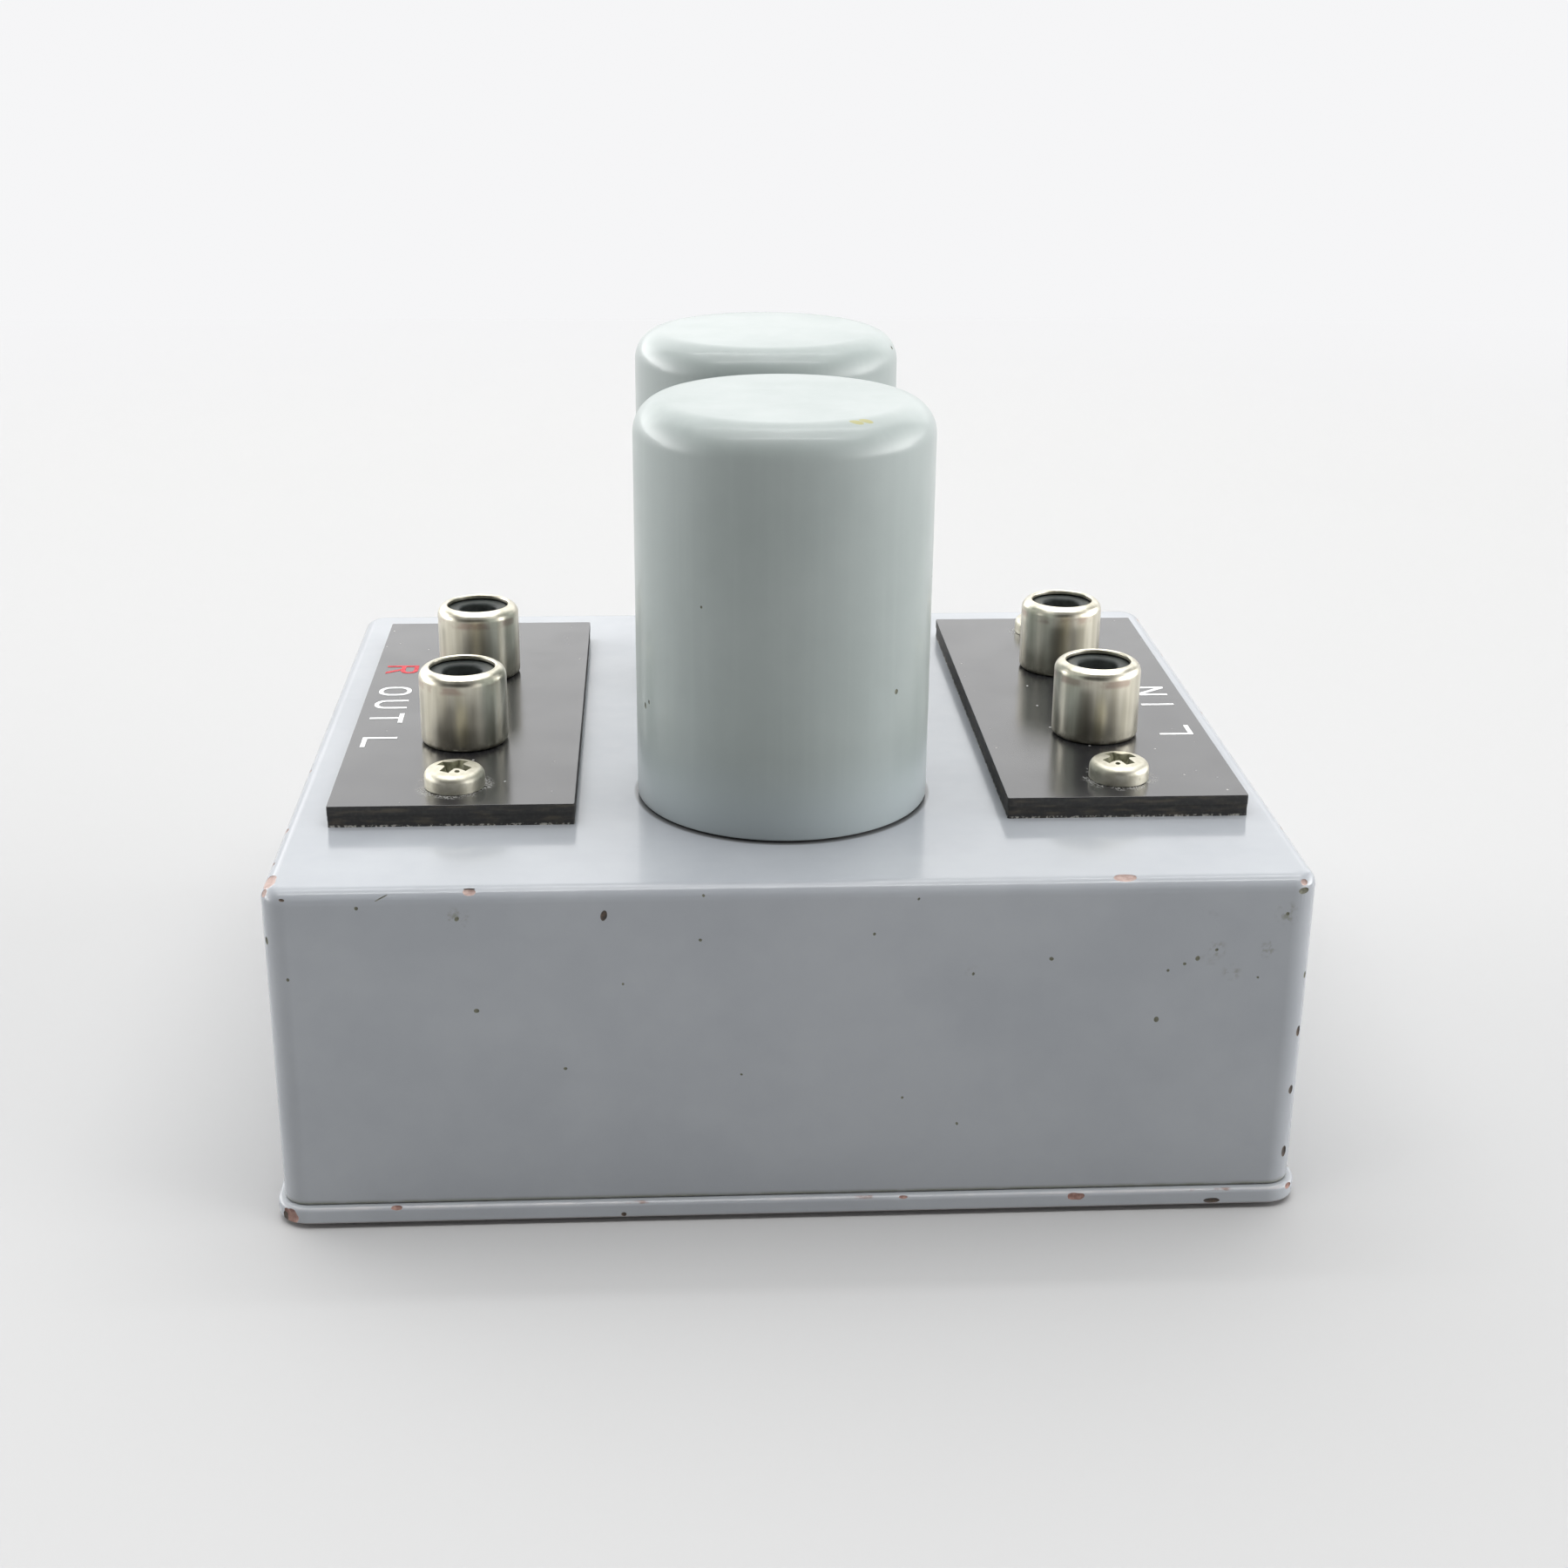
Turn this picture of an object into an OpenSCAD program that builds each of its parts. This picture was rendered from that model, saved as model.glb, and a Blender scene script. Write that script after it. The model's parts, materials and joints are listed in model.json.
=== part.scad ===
// Moving coil step-up transformer.
// A painted steel case carries two shielded transformers in round cans, one behind the other.
// A board on each side of the cans holds two phono jacks: outputs on the left, inputs on the right.
// The origin is the middle of the underside. X runs to the right, Y to the rear and Z up.
// All lengths are in millimetres.

/* [Case] */
// Width of the case
case_w = 90; // [86:1:120]
// Depth of the case
case_d = 80; // [76:1:110]
// Height of the case
case_h = 30; // [26:1:50]
// Thickness of the case's sheet
sheet_t = 1.2; // [0.8:0.1:1.6]
// Radius of the upright corners
corner_r = 2.4; // [2:0.1:5]
// Radius of the top edges
edge_r = 1.3; // [0.6:0.1:1.8]
// Width of the lips that take the base screws
lip_w = 9; // [8:0.5:14]
// Length of each lip
lip_l = 60; // [40:1:70]

/* [Base plate] */
// Thickness of the base plate
base_t = 1.6; // [1.4:0.1:3]
// How far the plate stands out from the case
base_overhang = 0.6; // [0.2:0.1:2]
// Radius of the plate's top edge
base_edge_r = 0.4; // [0.2:0.1:1]
// Distance of a base screw from the end of its lip
base_screw_inset = 6; // [4:0.5:12]

/* [Cans] */
// Diameter of a can
can_d = 26.8; // [25:0.2:32]
// Height of a can
can_h = 36.6; // [33:0.1:60]
// Wall of a can
can_wall = 0.8; // [0.5:0.1:1.2]
// Radius of a can's top edge
can_edge_r = 3; // [1.6:0.1:5]
// Distance between the cans' axes
can_pitch = 34.8; // [33:0.2:42]
// Thickness of the gasket under a can
gasket_t = 0.2; // [0.1:0.1:1]
// How far the gasket's rim lies inside the can's
gasket_inset = 0.3; // [0.1:0.1:1]
// Thickness of the disc that closes a can
can_base_t = 1.6; // [1:0.1:2.4]
// Diameter of a stud's head
stud_head_d = 5.5; // [5:0.1:6.5]
// Height of a stud's head
stud_head_h = 1.2; // [0.8:0.1:2]
// Gap between a stud's head and the can's wall
stud_edge = 0.4; // [0.2:0.1:1.5]

/* [Transformers] */
// Width of a core's outer legs and yokes
leg_w = 3.2; // [2.6:0.1:3.4]
// Width of each core window
window_w = 3.6; // [3.2:0.1:4]
// Height of each core window
window_h = 17; // [14:0.5:19]
// Thickness of the lamination stack
stack_t = 9; // [6:0.5:10]
// Wall of the bobbin
bobbin_wall = 0.6; // [0.4:0.1:0.8]
// Thickness of the bobbin's flanges
bobbin_flange_t = 0.8; // [0.5:0.1:1.5]
// Thickness of the primary winding
primary_t = 1; // [0.6:0.1:1.4]
// How far the flanges stand past the windings
flange_edge = 0.4; // [0.2:0.1:0.8]

/* [Boards] */
// Width of a board
board_w = 22; // [18:0.5:24]
// Length of a board
board_l = 55.5; // [52:0.5:64]
// Thickness of a board
board_t = 2; // [1.2:0.1:3]
// Distance of the output board from the left side of the case
out_margin = 4; // [2:0.5:6]
// Distance of the input board from the right side of the case
in_margin = 3; // [2:0.5:6]
// How far the boards lie behind the middle of the case
board_shift = 2.1; // [-4:0.1:6]
// Distance between a board's screws
board_screw_pitch = 45.5; // [42:0.5:48]

/* [Jacks] */
// Diameter of a jack's shell
jack_d = 8.3; // [8:0.1:9]
// Height of a shell above its board
jack_h = 7.45; // [6.5:0.05:9]
// Distance between a board's jacks
jack_pitch = 20.7; // [18:0.1:24]
// Radius of a shell's rounded mouth
jack_lip_r = 1.05; // [0.8:0.05:1.5]
// Radius of a shell's foot
jack_foot_r = 0.5; // [0.3:0.1:1]
// Wall of a shell
jack_wall = 0.4; // [0.3:0.05:0.6]
// Diameter of a shell's neck, which goes through the board
neck_d = 6; // [5.8:0.1:7]
// How far the riveted end of a neck spreads
flare_w = 0.6; // [0.3:0.1:1]
// Thickness of the riveted end
flare_t = 0.4; // [0.3:0.1:0.8]
// Depth of the insulator's face below the mouth
insulator_recess = 0.55; // [0.4:0.05:2]
// Diameter of the hole for a plug's pin
pin_hole_d = 3.7; // [3.4:0.1:4]
// Width of the funnel round the pin hole
funnel_w = 0.15; // [0.1:0.05:0.7]
// Depth of the funnel
funnel_h = 0.2; // [0.1:0.1:1]
// Diameter of a centre contact
contact_d = 4.2; // [4.1:0.05:4.4]
// Bore of a centre contact
contact_bore_d = 3.24; // [3.2:0.02:3.6]
// How far an insulator stands out below the riveted end
insulator_end = 2.4; // [1.5:0.1:4]
// Depth of a contact's mouth below the board's face
contact_depth = 1.9; // [1:0.1:2.5]
// Length of a contact
contact_l = 7; // [6:0.1:9]
// Floor of a contact, and the thickness of its collar
contact_floor_t = 0.5; // [0.3:0.1:1]
// How far a contact's collar stands out
contact_collar_w = 0.4; // [0.2:0.1:0.6]
// Width of the slot that splits a contact
contact_slot_w = 0.4; // [0.2:0.1:0.8]
// Width of a contact's solder tail
solder_tail_w = 2.2; // [1.4:0.1:3]
// Thickness of a solder tail
solder_tail_t = 0.6; // [0.4:0.1:1]
// Length of a solder tail
solder_tail_l = 4; // [3:0.5:6]
// Diameter of a ground lug's ring
lug_d = 8.8; // [8.2:0.1:10]
// Thickness of a ground lug
lug_t = 0.4; // [0.3:0.1:0.8]
// Width of a lug's tab
lug_tab_w = 2.4; // [1.6:0.1:3]
// Length of a lug's tab
lug_tab_l = 7; // [6.5:0.5:9]
// Gap round a lug in the case's hole
lug_gap = 1.1; // [0.6:0.1:2]

/* [Fasteners] */
// Thread diameter of the screws and studs
screw_d = 3; // [2.6:0.1:3.4]
// Diameter of a pan head
pan_head_d = 5.5; // [5:0.1:6.4]
// Height of a pan head
pan_head_h = 2; // [1.6:0.1:2.6]
// Radius of a pan head's top edge
pan_edge_r = 0.8; // [0.6:0.1:1.4]
// Turn of a pan head's recess, in degrees
pan_turn = 45; // [0:5:90]
// Diameter of a countersunk head
sunk_head_d = 5.6; // [5.2:0.1:5.8]
// Length of a cross recess
cross_l = 3; // [2.4:0.1:3.4]
// Width of a cross recess
cross_w = 1; // [0.6:0.1:1.2]
// Depth of a cross recess
cross_h = 0.9; // [0.6:0.1:1.2]
// Width of a nut across its flats
nut_af = 5.5; // [5:0.1:6]
// Thickness of a nut
nut_h = 2.4; // [1.8:0.1:3]
// Diameter of a washer
washer_d = 6; // [5.5:0.1:7]
// Thickness of a washer
washer_t = 0.6; // [0.4:0.1:1]
// How far a thread stands past its nut
thread_end = 1.8; // [1:0.1:3]

/* [Wiring] */
// Diameter of a lead
lead_d = 1.2; // [0.8:0.1:1.4]
// Distance between the leads as they leave a can
lead_pitch = 1.8; // [1.6:0.1:2.2]
// Straight run of a lead before it meets its terminal
lead_run = 2; // [1:0.5:4]
// How far a lead's bend reaches back from that run
lead_bend = 8; // [5:0.5:12]
// Diameter of the bush that the leads pass through
bush_d = 7; // [6.5:0.1:8]
// Bore of that bush
bush_bore_d = 5; // [4.6:0.1:5.4]
// Width of the bush's flange
bush_flange_w = 0.9; // [0.5:0.1:1.2]
// Thickness of the bush's flange
bush_flange_t = 1; // [0.6:0.1:1.6]
// Thickness of the ground tag
tag_t = 0.4; // [0.3:0.1:0.8]
// Width of the ground tag's tail
tag_w = 2.2; // [1.6:0.1:3]
// Length of the ground tag from its stud
tag_l = 8; // [6:0.5:12]
// Distance between wires that share a lug
lug_wire_pitch = 2.2; // [1.8:0.1:2.6]

/* [Hidden] */
// Gap on each side of a close fit
slip = 0.05;
// Gap on each side of a screw in its clearance hole
screw_gap = 0.2;
// How far a cutting shape reaches past what it cuts
over = 1;
// Sides of a lead, and steps along its bend
lead_sides = 8;
lead_steps = 10;
$fn = 64;

// Levels
top_z = base_t + case_h;
under_z = top_z - sheet_t;
board_z = top_z + board_t;
can_z = top_z + gasket_t;
fill_z = can_z + can_base_t;
fill_h = can_h - can_base_t - can_wall - slip;

// Radii and reaches
can_r = can_d / 2;
can_inner_r = can_r - can_wall;
stud_reach = can_inner_r - stud_edge - stud_head_d / 2;
clear_r = screw_d / 2 + screw_gap;
jack_r = jack_d / 2;
mouth_r = jack_r - jack_lip_r;
neck_r = neck_d / 2;
neck_bore_r = neck_r - jack_wall;
neck_l = board_t + lug_t + flare_t;
insulator_h = jack_h - insulator_recess;
insulator_l = neck_l + insulator_end;
contact_end = contact_depth + contact_l;
lug_r = lug_d / 2;
nut_r = nut_af / 2 / cos(30);
sunk_head_h = (sunk_head_d - screw_d) / 2;

// Sizes of a transformer
core_w = 4 * leg_w + 2 * window_w;
core_h = window_h + 2 * leg_w;
core_z = fill_z + (fill_h - core_h) / 2;
coil_z = core_z + leg_w + slip;
coil_h = window_h - 2 * slip;
bore_x = 2 * leg_w + 2 * slip;
bore_y = stack_t + 2 * slip;
flange_reach = window_w - 2 * slip;
secondary_t = flange_reach - bobbin_wall - primary_t - flange_edge;

// Heights at which wires meet their terminals
hot_z = board_z - contact_end - solder_tail_l / 2;
lug_end_z = top_z - lug_tab_l;
ground_z = lug_end_z + lead_d;
link_z = ground_z + lug_wire_pitch;
tag_z = under_z - washer_t - tag_t;

// The front transformer and jacks carry the left channel, the rear ones the right
ends = [["front", -1], ["rear", 1]];
sides = [["out", -1], ["in", 1]];
can_pieces = ["can", "gasket", "can_base", "studs", "potting", "core", "bobbin",
    "primary_winding", "secondary_winding", "lead_bush"];
jack_pieces = ["shell", "insulator", "contact", "ground_lug"];

NODES = concat(
    ["case_shell", "base_plate", "base_screws"],
    [for (end = ends) for (piece = can_pieces) str(end[0], "_", piece)],
    ["stud_washers", "stud_nuts"],
    [for (side = sides) str(side[0], "_board")],
    [for (side = sides) for (end = ends) for (piece = jack_pieces)
        str(side[0], "_", end[0], "_", piece)],
    ["board_screws", "board_washers", "board_nuts"],
    [for (end = ends) for (side = sides) str(end[0], "_", side[0], "_leads")],
    ["ground_tag", "ground_wire"]
);
node = "all";

function drawn(name) = node == "all" || node == name;

// Places
function can_y(end) = end * can_pitch / 2;
function board_x(side) = side * (case_w / 2 - board_w / 2 - (side < 0 ? out_margin : in_margin));
function jack_y(end) = board_shift + end * jack_pitch / 2;

module at_can(end, z) {
    translate([0, can_y(end), z]) children();
}

module at_studs(end, z) {
    for (way = [-1, 1]) translate([0, can_y(end) + way * stud_reach, z]) children();
}

module at_all_studs(z) {
    for (end = ends) at_studs(end[1], z) children();
}

module at_board(side, z) {
    translate([board_x(side), board_shift, z]) children();
}

module at_jack(side, end) {
    translate([board_x(side), jack_y(end), board_z]) children();
}

module at_board_screws(side, z) {
    for (way = [-1, 1]) at_board(side, z) translate([0, way * board_screw_pitch / 2, 0]) children();
}

module at_all_board_screws(z) {
    for (side = sides) at_board_screws(side[1], z) children();
}

module at_base_screws() {
    for (x = [-1, 1], y = [-1, 1])
        translate([x * (case_w / 2 - sheet_t - lip_w / 2), y * (lip_l / 2 - base_screw_inset), 0])
            children();
}

// Shapes that repeat

// Half of an upright section whose outer top edge is rounded
module rim_outline(reach, h, edge) {
    square([reach, h - edge]);
    square([reach - edge, h]);
    translate([reach - edge, h - edge]) intersection() {
        circle(edge);
        square(edge);
    }
}

// Slab with round upright corners and a rounded top edge
module rounded_slab(w, d, h, corner, edge) {
    flat_w = w - 2 * corner;
    flat_d = d - 2 * corner;
    translate([-flat_w / 2, -flat_d / 2, 0]) cube([flat_w, flat_d, h]);
    for (i = [0:3]) {
        along = i % 2 == 0 ? flat_d : flat_w;
        out = i % 2 == 0 ? flat_w : flat_d;
        rotate(90 * i) translate([out / 2, along / 2, 0]) {
            rotate([90, 0, 0]) linear_extrude(along) rim_outline(corner, h, edge);
            rotate_extrude(angle = 90) rim_outline(corner, h, edge);
        }
    }
}

// Upright block with round corners
module rounded_prism(w, d, h, corner) {
    linear_extrude(h) {
        square([w - 2 * corner, d], center = true);
        square([w, d - 2 * corner], center = true);
        for (x = [-1, 1], y = [-1, 1])
            translate([x * (w / 2 - corner), y * (d / 2 - corner)]) circle(corner);
    }
}

// Upright block centred on its axis
module block(w, d, h) {
    translate([-w / 2, -d / 2, 0]) cube([w, d, h]);
}

// Frame of one height, open along Z
module sleeve(bore_w, bore_d, wall, h) {
    difference() {
        block(bore_w + 2 * wall, bore_d + 2 * wall, h);
        translate([0, 0, -over]) block(bore_w, bore_d, h + 2 * over);
    }
}

module ring(outer_r, inner_r, h) {
    difference() {
        cylinder(r = outer_r, h = h);
        translate([0, 0, -over]) cylinder(r = inner_r, h = h + 2 * over);
    }
}

// Cross recess, cut down from its own level
module cross_recess() {
    for (turn = [0, 90])
        rotate(turn) translate([0, 0, -cross_h]) block(cross_l, cross_w, cross_h + over);
}

module nut() {
    difference() {
        cylinder(r = nut_r, h = nut_h, $fn = 6);
        translate([0, 0, -over]) cylinder(r = screw_d / 2 + slip, h = nut_h + 2 * over);
    }
}

module washer() {
    ring(washer_d / 2, clear_r, washer_t);
}

// Round wire along a list of points, square to its first and last stretch
function unit(v) = v / norm(v);
function heading(points, i) = unit(points[min(i + 1, len(points) - 1)] - points[max(i - 1, 0)]);
function wire_ring(point, along, r) =
    let (across = unit(cross(along, [0, 1, 0])), up = cross(across, along))
    [for (j = [0:lead_sides - 1]) let (a = 360 * j / lead_sides) point + r * (cos(a) * across + sin(a) * up)];

module wire(points) {
    last = len(points) - 1;
    skin = [for (i = [0:last]) each wire_ring(points[i], heading(points, i), lead_d / 2)];
    function at(i, j) = i * lead_sides + j % lead_sides;
    polyhedron(skin, concat(
        [for (i = [0:last - 1], j = [0:lead_sides - 1]) [at(i, j), at(i + 1, j), at(i, j + 1)]],
        [for (i = [0:last - 1], j = [0:lead_sides - 1]) [at(i + 1, j), at(i + 1, j + 1), at(i, j + 1)]],
        [for (j = [1:lead_sides - 2]) [at(0, 0), at(0, j), at(0, j + 1)]],
        [for (j = [1:lead_sides - 2]) [at(last, 0), at(last, j + 1), at(last, j)]]
    ));
}

function bend(a, b, c, d, t) =
    a * (1 - t) ^ 3 + 3 * b * t * (1 - t) ^ 2 + 3 * c * t ^ 2 * (1 - t) + d * t ^ 3;

// Route that drops straight from start to leave, bends, and runs straight along X into finish
function route(start, leave, finish, way) =
    let (arrive = finish - [way * lead_run, 0, 0])
    let (down = [leave.x, leave.y, min(finish.z, leave.z - lead_run)])
    let (back = arrive - [way * lead_bend, 0, 0])
    concat([start], [for (i = [0:lead_steps]) bend(leave, down, back, arrive, i / lead_steps)], [finish]);

// Case

module case_holes() {
    for (end = ends) {
        at_can(end[1], under_z - over) cylinder(r = bush_d / 2 + slip, h = sheet_t + 2 * over);
        for (side = sides)
            at_jack(side[1], end[1]) translate([0, 0, under_z - board_z - over])
                cylinder(r = lug_r + lug_gap, h = sheet_t + 2 * over);
    }
    at_all_studs(under_z - over) cylinder(r = clear_r, h = sheet_t + 2 * over);
    at_all_board_screws(under_z - over) cylinder(r = clear_r, h = sheet_t + 2 * over);
    at_base_screws() translate([0, 0, base_t - over])
        cylinder(r = screw_d / 2 + slip, h = sheet_t + 2 * over);
}

module case_shell() {
    color("lightslategray") difference() {
        union() {
            difference() {
                translate([0, 0, base_t]) rounded_slab(case_w, case_d, case_h, corner_r, edge_r);
                translate([0, 0, base_t - over])
                    rounded_prism(case_w - 2 * sheet_t, case_d - 2 * sheet_t,
                        case_h - sheet_t + over, corner_r - sheet_t);
            }
            for (way = [-1, 1])
                translate([way * (case_w / 2 - sheet_t / 2 - lip_w / 2), 0, base_t])
                    block(lip_w + sheet_t, lip_l, sheet_t);
        }
        case_holes();
    }
}

module base_plate() {
    color("slategray") difference() {
        rounded_slab(case_w + 2 * base_overhang, case_d + 2 * base_overhang, base_t,
            corner_r + base_overhang, base_edge_r);
        at_base_screws() {
            cylinder(r1 = sunk_head_d / 2 + slip, r2 = screw_d / 2 + slip, h = sunk_head_h);
            translate([0, 0, -over]) cylinder(r = clear_r, h = base_t + 2 * over);
        }
    }
}

module base_screws() {
    color("gainsboro") at_base_screws() difference() {
        union() {
            cylinder(r1 = sunk_head_d / 2, r2 = screw_d / 2, h = sunk_head_h);
            cylinder(r = screw_d / 2, h = base_t + sheet_t + thread_end);
        }
        mirror([0, 0, 1]) cross_recess();
    }
}

// Cans and what they hold

module can(end) {
    color("darkseagreen") at_can(end, can_z) rotate_extrude() difference() {
        rim_outline(can_r, can_h, can_edge_r);
        translate([0, -over])
            rim_outline(can_inner_r, can_h - can_wall + over, can_edge_r - can_wall);
    }
}

module gasket(end) {
    color("dimgray") difference() {
        at_can(end, top_z) ring(can_r - gasket_inset, bush_d / 2 + slip, gasket_t);
        at_studs(end, top_z - over) cylinder(r = clear_r, h = gasket_t + 2 * over);
    }
}

module can_base(end) {
    color("silver") difference() {
        at_can(end, can_z) ring(can_inner_r - slip, bush_bore_d / 2, can_base_t);
        at_studs(end, can_z - over) cylinder(r = screw_d / 2 + slip, h = can_base_t + 2 * over);
    }
}

module studs(end) {
    below = fill_z - (under_z - washer_t - nut_h - thread_end);
    color("gainsboro") at_studs(end, fill_z) {
        cylinder(r = stud_head_d / 2, h = stud_head_h);
        translate([0, 0, -below]) cylinder(r = screw_d / 2, h = below);
    }
}

module coil_outline() {
    block(bore_x + 2 * flange_reach, bore_y + 2 * flange_reach, coil_h);
}

module potting(end) {
    color("saddlebrown") difference() {
        at_can(end, fill_z) rotate_extrude()
            rim_outline(can_inner_r - slip, fill_h, can_edge_r - can_wall);
        at_can(end, core_z) block(core_w, stack_t, core_h);
        at_can(end, coil_z) coil_outline();
        at_studs(end, fill_z - over) cylinder(r = stud_head_d / 2 + slip, h = stud_head_h + over);
    }
}

module core(end) {
    color("lightsteelblue") at_can(end, core_z) difference() {
        block(core_w, stack_t, core_h);
        for (way = [-1, 1])
            translate([way * (leg_w + window_w / 2), 0, leg_w])
                block(window_w, stack_t + 2 * over, window_h);
    }
}

module bobbin(end) {
    color("ivory") at_can(end, coil_z) {
        sleeve(bore_x, bore_y, bobbin_wall, coil_h);
        for (z = [0, coil_h - bobbin_flange_t])
            translate([0, 0, z]) sleeve(bore_x, bore_y, flange_reach, bobbin_flange_t);
    }
}

// One winding between the bobbin's flanges, with what lies under it
module winding(end, under, wall) {
    at_can(end, coil_z + bobbin_flange_t)
        sleeve(bore_x + 2 * under, bore_y + 2 * under, wall, coil_h - 2 * bobbin_flange_t);
}

module primary_winding(end) {
    color("chocolate") winding(end, bobbin_wall, primary_t);
}

module secondary_winding(end) {
    color("peru") winding(end, bobbin_wall + primary_t, secondary_t);
}

module lead_bush(end) {
    color("dimgray") {
        at_can(end, under_z) ring(bush_d / 2, bush_bore_d / 2, can_z - under_z);
        at_can(end, under_z - bush_flange_t)
            ring(bush_d / 2 + bush_flange_w, bush_bore_d / 2, bush_flange_t);
    }
}

// The ground tag lies under the nut of the front can's rear stud
function has_tag(end, way) = end < 0 && way > 0;

module stud_washers() {
    color("silver") at_all_studs(under_z - washer_t) washer();
}

module stud_nuts() {
    color("silver") for (end = ends, way = [-1, 1])
        translate([0, can_y(end[1]) + way * stud_reach,
            (has_tag(end[1], way) ? tag_z : under_z - washer_t) - nut_h])
            nut();
}

// Boards and jacks

module board(side) {
    color("#1c1a1a") difference() {
        at_board(side, top_z) block(board_w, board_l, board_t);
        for (end = ends)
            at_jack(side, end[1]) translate([0, 0, -board_t - over])
                cylinder(r = neck_r + slip, h = board_t + 2 * over);
        at_board_screws(side, top_z - over) cylinder(r = clear_r, h = board_t + 2 * over);
    }
}

module shell(side, end) {
    color("silver") at_jack(side, end) rotate_extrude() difference() {
        union() {
            translate([0, jack_foot_r]) rim_outline(jack_r, jack_h - jack_foot_r, jack_lip_r);
            translate([jack_r - jack_foot_r, jack_foot_r]) circle(jack_foot_r);
            square([jack_r - jack_foot_r, jack_foot_r]);
            translate([0, -neck_l]) square([neck_r, neck_l]);
            translate([0, -neck_l]) square([neck_r + flare_w, flare_t]);
        }
        translate([0, jack_wall])
            rim_outline(jack_r - jack_wall, jack_h - 2 * jack_wall, jack_lip_r - jack_wall);
        square([mouth_r, jack_h + over]);
        translate([0, -neck_l - over]) square([neck_bore_r, neck_l + jack_h]);
    }
}

module insulator(side, end) {
    color("#202022") at_jack(side, end) rotate_extrude() difference() {
        union() {
            translate([0, jack_wall])
                rim_outline(jack_r - jack_wall - slip, insulator_h - jack_wall, jack_lip_r - jack_wall);
            translate([0, -insulator_l]) square([neck_bore_r - slip, insulator_l + jack_wall]);
        }
        translate([0, -insulator_l - over])
            square([contact_d / 2 + slip, insulator_l + over - contact_depth]);
        translate([0, -contact_depth]) square([pin_hole_d / 2, contact_depth + jack_h]);
        polygon([[0, insulator_h - funnel_h], [pin_hole_d / 2, insulator_h - funnel_h],
            [pin_hole_d / 2 + funnel_w, insulator_h], [0, insulator_h]]);
    }
}

// A collar below the insulator stops the contact, and a slot splits what is above it
module contact(side, end) {
    color("goldenrod") at_jack(side, end) {
        difference() {
            union() {
                translate([0, 0, -contact_end]) cylinder(r = contact_d / 2, h = contact_l);
                translate([0, 0, -insulator_l - contact_floor_t])
                    cylinder(r = contact_d / 2 + contact_collar_w, h = contact_floor_t);
            }
            translate([0, 0, contact_floor_t - contact_end])
                cylinder(r = contact_bore_d / 2, h = contact_l);
            translate([0, 0, -insulator_l]) block(contact_slot_w, contact_d + 2 * over, insulator_l);
        }
        translate([0, 0, -contact_end - solder_tail_l])
            block(solder_tail_t, solder_tail_w, solder_tail_l);
    }
}

// The tab hangs down on the side towards the cans
module ground_lug(side, end) {
    color("silver") at_jack(side, end) {
        translate([0, 0, -board_t - lug_t]) ring(lug_r, neck_r + slip, lug_t);
        translate([-side * (lug_r - lug_t / 2), 0, -board_t - lug_tab_l])
            block(lug_t, lug_tab_w, lug_tab_l);
    }
}

module board_screws() {
    length = board_t + sheet_t + washer_t + nut_h + thread_end;
    color("gainsboro") at_all_board_screws(board_z) difference() {
        union() {
            rotate_extrude() rim_outline(pan_head_d / 2, pan_head_h, pan_edge_r);
            translate([0, 0, -length]) cylinder(r = screw_d / 2, h = length);
        }
        translate([0, 0, pan_head_h]) rotate(pan_turn) cross_recess();
    }
}

module board_washers() {
    color("silver") at_all_board_screws(under_z - washer_t) washer();
}

module board_nuts() {
    color("silver") at_all_board_screws(under_z - washer_t - nut_h) nut();
}

// Wiring

// The lead to the contact and the lead to the ground lug of one jack
module leads(end, side) {
    color(side < 0 ? "firebrick" : "whitesmoke") {
        for (way = [-1, 1]) {
            from = [side * lead_pitch / 2, can_y(end) + way * lead_pitch / 2];
            to_x = board_x(side) - side * (way < 0 ? solder_tail_t / 2 : lug_r);
            wire(route([from.x, from.y, fill_z], [from.x, from.y, under_z - bush_flange_t],
                [to_x, jack_y(end), way < 0 ? hot_z : ground_z], side));
        }
    }
}

module ground_tag() {
    color("silver") translate([0, can_y(-1) + stud_reach, tag_z]) difference() {
        union() {
            cylinder(r = washer_d / 2, h = tag_t);
            translate([-tag_l, -tag_w / 2, 0]) cube([tag_l, tag_w, tag_t]);
        }
        translate([0, 0, -over]) cylinder(r = clear_r, h = tag_t + 2 * over);
    }
}

module ground_wire() {
    from = [tag_w / 2 - tag_l, can_y(-1) + stud_reach];
    color("black") wire(route([from.x, from.y, tag_z], [from.x, from.y, tag_z - lead_d],
        [board_x(-1) + lug_r, jack_y(-1), link_z], -1));
}

if (drawn("case_shell")) case_shell();
if (drawn("base_plate")) base_plate();
if (drawn("base_screws")) base_screws();
for (end = ends) {
    if (drawn(str(end[0], "_can"))) can(end[1]);
    if (drawn(str(end[0], "_gasket"))) gasket(end[1]);
    if (drawn(str(end[0], "_can_base"))) can_base(end[1]);
    if (drawn(str(end[0], "_studs"))) studs(end[1]);
    if (drawn(str(end[0], "_potting"))) potting(end[1]);
    if (drawn(str(end[0], "_core"))) core(end[1]);
    if (drawn(str(end[0], "_bobbin"))) bobbin(end[1]);
    if (drawn(str(end[0], "_primary_winding"))) primary_winding(end[1]);
    if (drawn(str(end[0], "_secondary_winding"))) secondary_winding(end[1]);
    if (drawn(str(end[0], "_lead_bush"))) lead_bush(end[1]);
    for (side = sides)
        if (drawn(str(end[0], "_", side[0], "_leads"))) leads(end[1], side[1]);
}
if (drawn("stud_washers")) stud_washers();
if (drawn("stud_nuts")) stud_nuts();
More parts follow.
